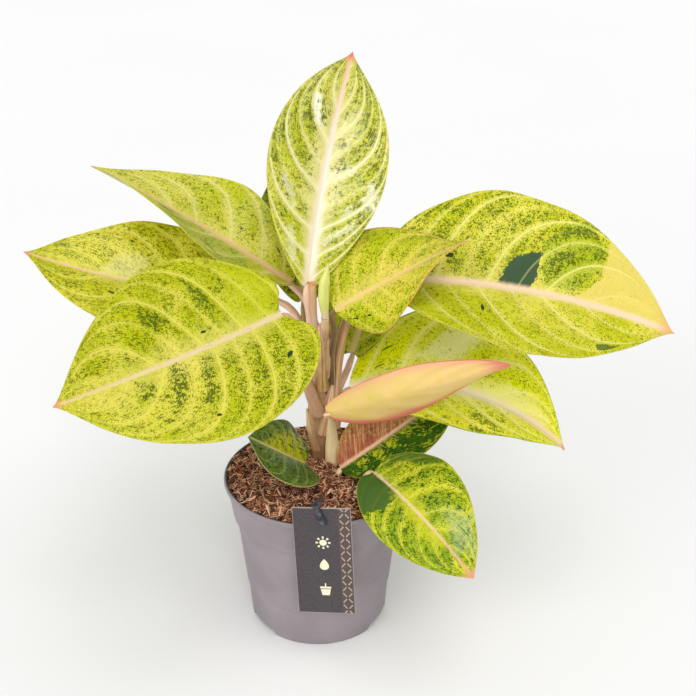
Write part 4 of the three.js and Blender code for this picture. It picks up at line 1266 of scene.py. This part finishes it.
shoot_skin = stem_finish("shoot_skin", (236, 198, 150), (250, 218, 172), dark=(196, 156, 116))
for node, shape in stalks.items():
    leaf = leaves[node]
    ahead, _, face = (part[0] for part in blade_frame(leaf, np.zeros(1)))
    base = np.array(leaf["base"])
    entry = unit(unit(base - shape["path"][-1]) + ahead)
    neck = base - entry * shape.get("neck", neck_length) - face * 0.0010
    hold = base + ahead * shape.get("hold", 0.05) * leaf["length"] - face * 0.0020
    thin = shape.get("thin", 1.0)
    rod = build_stalk(
        [*shape["path"], neck, base - face * 0.0016, hold],
        [*shape["girths"], neck_radius * thin, neck_radius * 0.92 * thin, neck_radius * 0.3],
        shape.get("opening", face - 0.2 * ahead),
        shape.get("groove", [0.5, 0.4, 0.3, 0.2, 0.1, 0.1]),
        shape.get("mouth", 0.7),
    )
    name = node.replace("leaf", "stalk")
    stalk = add_piece(name + "_grown", *rod, crease=60)
    skin = stem_finish(name + "_skin", **shape["skin"]) if "skin" in shape else shoot_skin
    stalk.data.materials.append(skin)
    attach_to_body(stalk, "root")
    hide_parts(shape.get("node", "stems"))

for name, shape in clump.items():
    groove = shape.get("groove", [0, 0])
    rod = build_stalk(shape["path"], shape["girths"], shape["opening"], groove, mouth=0.95)
    grown = add_piece(name, *rod, crease=shape.get("crease", 60))
    name = name + "_skin"
    skin = stem_finish(name, **shape["skin"]) if "skin" in shape else stub_finish(name)
    grown.data.materials.append(skin)
    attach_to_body(grown, "root")
    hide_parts("stems")

# Furled leaf: a new pale leaf still rolled into a spear, with the seam of its outer
# edge as a shallow channel up its front. It stands in a socket of the clump.
spear_path = [
    (0.0062, 0, 0.2132), (0.0054, -0.001, 0.222), (0.0056, -0.0015, 0.233), (0.0082, -0.002, 0.2495),
]
spear_girths = [0.0020, 0.0033, 0.0032, 0.0004]
spear_seam = [0.05, 0.22, 0.2, 0]


def spear_finish():
    """Pale yellow-green, cream towards its base, with fine lengthwise veins."""
    made = Finish("spear_skin", Specular_IOR_Level=0.45)
    along, angle, share = made.read("skin").parts()
    streak = made.noise(2.5, 2.0, place=made.vector(along * 0.05, angle * 2.4, 0.0))
    colour = made.paint(
        (214, 216, 106), ((230, 232, 146), streak.above(0.35, 0.7)), ((236, 214, 170), share.above(0.25, 0.0))
    )
    return made.done(colour, 0.38 + 0.1 * streak, streak, 0.0002)


spear = add_piece("furled_leaf", *build_stalk(spear_path, spear_girths, (0.7, -1, 0), spear_seam), crease=60)
spear.data.materials.append(spear_finish())
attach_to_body(spear, "root")
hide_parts("spear_leaf")

# Care tag: a dark printed card that leans on the pot's lip, with a punched hole. A strip
# of gold dashes forms diamonds down its right side. A sun, a drop and a pot say how to
# care for the plant.
tag_width = 0.0352
tag_height = 0.0775
tag_thickness = 0.0009
edge_corner = 0.0006
face_corner = 0.00045
tag_yaw = math.radians(6)
tag_tilt = math.radians(2.3)
tag_centre = (0.0054, 0.079)
tag_seat = rim_radius + 0.0003 + tag_thickness / 2
tag_hole = (-0.0006, tag_height / 2 - 0.0065)
tag_hole_radius = 0.0019
strip_centre = 13.5
strip_half = 3.5
strip_period = 8.93
sun_centre = 14.0
drop_centre = -2.5
pot_centre = -20.0
tag_turn = np.array([
    [math.cos(tag_yaw), math.sin(tag_yaw), 0],
    [-math.sin(tag_yaw), math.cos(tag_yaw), 0],
    [0, 0, 1],
]) @ np.array([
    [math.cos(tag_tilt), 0, -math.sin(tag_tilt)],
    [0, 1, 0],
    [math.sin(tag_tilt), 0, math.cos(tag_tilt)],
])
tag_place = np.array([
    tag_centre[0],
    -tag_seat / math.cos(tag_yaw) - tag_centre[0] * math.tan(tag_yaw),
    tag_centre[1],
])


def in_tag_frame(points):
    """Points of the upright tag, tilted about Y, turned about Z and set on the pot's lip."""
    return points @ tag_turn.T + tag_place


def from_tag_frame(points):
    return (points - tag_place) @ tag_turn


def build_tag():
    """Rounded rectangle of card: a front and a back outline, each with a slightly smaller
    copy that stands a little prouder, so that the card's edges are soft."""
    angle = np.linspace(0, 2 * np.pi, 48, endpoint=False)
    quarter = np.floor(angle / (np.pi / 2)) * (np.pi / 2) + np.pi / 4
    corner_x = np.sign(np.cos(quarter)) * (tag_width / 2 - edge_corner)
    corner_z = np.sign(np.sin(quarter)) * (tag_height / 2 - edge_corner)
    rings = []
    for radius, y in ((face_corner, -1.0), (edge_corner, -0.8), (edge_corner, 0.8), (face_corner, 1.0)):
        x, z = corner_x + radius * np.cos(angle), corner_z + radius * np.sin(angle)
        rings.append(np.stack([x, 0 * x + y * tag_thickness / 2, z], -1))
    return capped(np.array(rings)[:, ::-1])


def tag_finish():
    """Dark card, a little fibrous, with a pale band along its edges and gold print: dashes that
    form a strip of diamonds, and a sun, a drop and a pot, placed in millimetres on the card."""
    made = Finish("tag_card", Specular_IOR_Level=0.3)
    x, z, _ = made.read("card").parts()
    grain = made.noise(900, 4.0, 0.7)
    across = (x - strip_centre).size()
    strip = across.above(strip_half + 0.3, strip_half + 0.1)
    turn = ((z / strip_period).math("FRACT") - 0.5).size() * 2
    line = (across / strip_half + turn - 1.0).size()
    part = ((across / strip_half - turn) * 0.5).size()
    dash = line.above(0.2, 0.08) * part.above(0.36, 0.26) * strip

    lift = z - sun_centre
    far = (x * x + lift * lift).math("SQRT")
    rays = (lift.math("ARCTAN2", x) * 8).math("COSINE").above(0.1, 0.5)
    sun = far.above(2.3, 2.1) + far.above(2.9, 3.1) * far.above(4.6, 4.4) * rays
    share = ((z - drop_centre + 3.6) / 8.2).limited()
    drop = (share.math("SQRT") * (1 - share) * 7.6 - x.size()).above(0.0, 0.25)
    lift = z - pot_centre
    rim = x.size().above(3.5, 3.3) * (lift - 0.6).size().above(0.8, 0.6)
    body = (x.size() - lift * 0.18).above(3.3, 3.1) * (lift + 2.9).size().above(2.4, 2.2)
    stalk = x.size().above(0.45, 0.3) * (lift - 2.6).size().above(1.4, 1.2)
    printed = (sun + drop + rim + body + stalk).limited()

    # A pale band along the card's edges, strongest at the very edge, broken by the grain.
    edge_band = (x.size() - tag_width * 500).size().math("MINIMUM", (z.size() - tag_height * 500).size())
    colour = made.paint(
        (66, 60, 62),
        ((80, 74, 76), grain.above(0.35, 0.65)),
        ((98, 82, 74), strip * 0.5),
        ((190, 166, 146), dash * 0.85),
        ((240, 232, 200), printed * 0.95),
        ((196, 178, 172), (edge_band + (grain - 0.5) * 0.3).above(0.35, 0.1) * 0.8),
    )
    return made.done(colour, 0.5 + 0.2 * grain - printed * 0.1, grain + dash * 0.6, 0.00008)


tag_points, tag_faces = build_tag()
tag = add_piece("care_tag", in_tag_frame(tag_points), tag_faces)
punch = turned([(tag_hole_radius, -0.002), (tag_hole_radius, 0.002)], 48)[..., [0, 2, 1]]
punch_points, punch_faces = capped(punch[::-1] + (tag_hole[0], 0, tag_hole[1]))
cut(tag, add_piece("punch", in_tag_frame(punch_points), punch_faces), crease=25)
attach(tag.data, "card", from_tag_frame(points_of(tag.data))[:, [0, 2, 1]] * 1000)
tag.data.materials.append(tag_finish())
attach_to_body(tag, "root")
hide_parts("tag")

# Pin: a moulded strap of dark bluish plastic hooked over the tag, with a peg in the
# tag's hole and a spike that runs back over the lip into the soil.
pin_thickness = 0.0014
pin_out = tag_thickness / 2 + 0.0003 + pin_thickness / 2
tag_top = tag_height / 2


def build_strap():
    """Superellipse sections along a smooth path; each knot holds x, y, z and half width."""
    knots = [
        (tag_hole[0] + 0.0020, -pin_out, tag_hole[1] - 0.0046, 0.0014),
        (tag_hole[0] + 0.0014, -pin_out, tag_hole[1] - 0.0030, 0.0023),
        (tag_hole[0], -pin_out, tag_hole[1], 0.0024),
        (-0.0018, -pin_out, tag_top - 0.0014, 0.0015),
        (-0.0026, -pin_out * 0.88, tag_top + 0.0012, 0.0024),
        (-0.0028, 0, tag_top + 0.0017, 0.0028),
        (-0.0028, pin_out, tag_top + 0.0016, 0.0029),
        (-0.0026, pin_out + 0.005, tag_top - 0.0006, 0.0024),
        (-0.0036, 0.024, tag_hole[1] - 0.003, 0.0016),
        (-0.0044, 0.042, tag_hole[1] - 0.013, 0.0005),
    ]
    path = smooth_path(knots, 10)
    run = unit(np.gradient(path[:, 1:3], axis=0))
    angle = np.linspace(0, 2 * np.pi, 28, endpoint=False)
    side = np.sign(np.cos(angle)) * np.abs(np.cos(angle)) ** 0.6
    rise = np.sign(np.sin(angle)) * np.abs(np.sin(angle)) ** 0.6
    rib = 1 + 0.35 * np.exp(-((side / 0.35) ** 2))
    thick = np.full(len(path), pin_thickness / 2)
    thick[[0, -1]] *= 0.6
    x = path[:, :1] + path[:, 3:] * side
    y = path[:, 1:2] - run[:, 1:] * thick[:, None] * rise * rib
    z = path[:, 2:3] + run[:, :1] * thick[:, None] * rise * rib
    return np.stack([x, y, z], -1)


def pin_finish():
    """Dark bluish-grey moulded plastic with a fine grain, and paler clouds that are painted highlights."""
    made = Finish("pin_moulding", IOR=1.46)
    grain = made.noise(1800, 2.0)
    # Painted highlights: the paler bluish-grey clouds stand in for light caught on the moulding.
    colour = made.paint((34, 35, 42), ((84, 86, 98), made.noise(260, 2.0).above(0.42, 0.68)))
    return made.done(colour, 0.34 + 0.15 * grain, grain, 0.00008)


peg = turned([(0.0012, -pin_out + 0.0001), (0.0012, 0.0002), (0.0008, 0.0004)], 32)[..., [0, 2, 1]]
peg_points, peg_faces = capped(peg[::-1] + (tag_hole[0], 0, tag_hole[1]))
strap_points, strap_faces = capped(build_strap())
pin_skin = pin_finish()
for name, points, faces in (("pin_strap", strap_points, strap_faces), ("pin_peg", peg_points, peg_faces)):
    pin = add_piece(name, in_tag_frame(points), faces, crease=50)
    pin.data.materials.append(pin_skin)
    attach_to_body(pin, "root")
    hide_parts("tag_pin")

# Studio: a plain pale floor, an even white surround, a soft frontal light that the
# glossy leaves reflect, and a broad light from above.
floor_size = 14.0
surround_strength = 0.55


def floor_finish():
    """Even white paper with the faintest cloud in it."""
    made = Finish("floor_paper", Roughness=0.9, Specular_IOR_Level=0.1)
    return made.done(made.paint((246, 246, 246), ((250, 250, 250), made.noise(2, 1.0))))


floor_corners = np.array([(-1, -1, 0), (1, -1, 0), (1, 1, 0), (-1, 1, 0)]) * floor_size / 2
floor = add_piece("floor", floor_corners, [np.array([[0, 1, 2, 3]])])
floor.data.materials.append(floor_finish())

world = bpy.data.worlds.new("studio")
bpy.context.scene.world = world
world.use_nodes = True
world.node_tree.nodes["Background"].inputs["Color"].default_value = (1, 1, 1, 1)
world.node_tree.nodes["Background"].inputs["Strength"].default_value = surround_strength


def far_light(name, azimuth, elevation, spread, strength):
    """Distant soft light. Azimuth turns from the camera's side towards the right and
    elevation rises from the level, both in degrees; spread is the light's own width."""
    light = bpy.data.lights.new(name, "SUN")
    light.angle = math.radians(spread)
    light.energy = strength
    lamp = bpy.data.objects.new(name, light)
    lamp.rotation_euler = (math.radians(90 - elevation), 0, math.radians(azimuth))
    bpy.context.scene.collection.objects.link(lamp)


far_light("front_light", 9, 38, 22, 0.7)
far_light("top_light", 35, 70, 40, 0.85)
far_light("fill_light", -42, 16, 50, 1.2)

# Camera: at the photograph's angle, 26.6 degrees down, about 73 cm from the plant.
camera_aim = (0.0198, 0.0, 0.1928)
camera_distance = 0.732
camera_pitch = math.radians(26.6)
focal_share = 1200 / 696
sensor_width = 36.0

view = bpy.data.cameras.new("view")
view.sensor_width = sensor_width
view.lens = focal_share * sensor_width
view.clip_start = 0.01
view.clip_end = 50
camera = bpy.data.objects.new("camera", view)
camera.location = (
    camera_aim[0],
    camera_aim[1] - camera_distance * math.cos(camera_pitch),
    camera_aim[2] + camera_distance * math.sin(camera_pitch),
)
camera.rotation_euler = (math.pi / 2 - camera_pitch, 0, 0)
bpy.context.scene.collection.objects.link(camera)
bpy.context.scene.camera = camera
bpy.context.scene.view_settings.view_transform = "Standard"
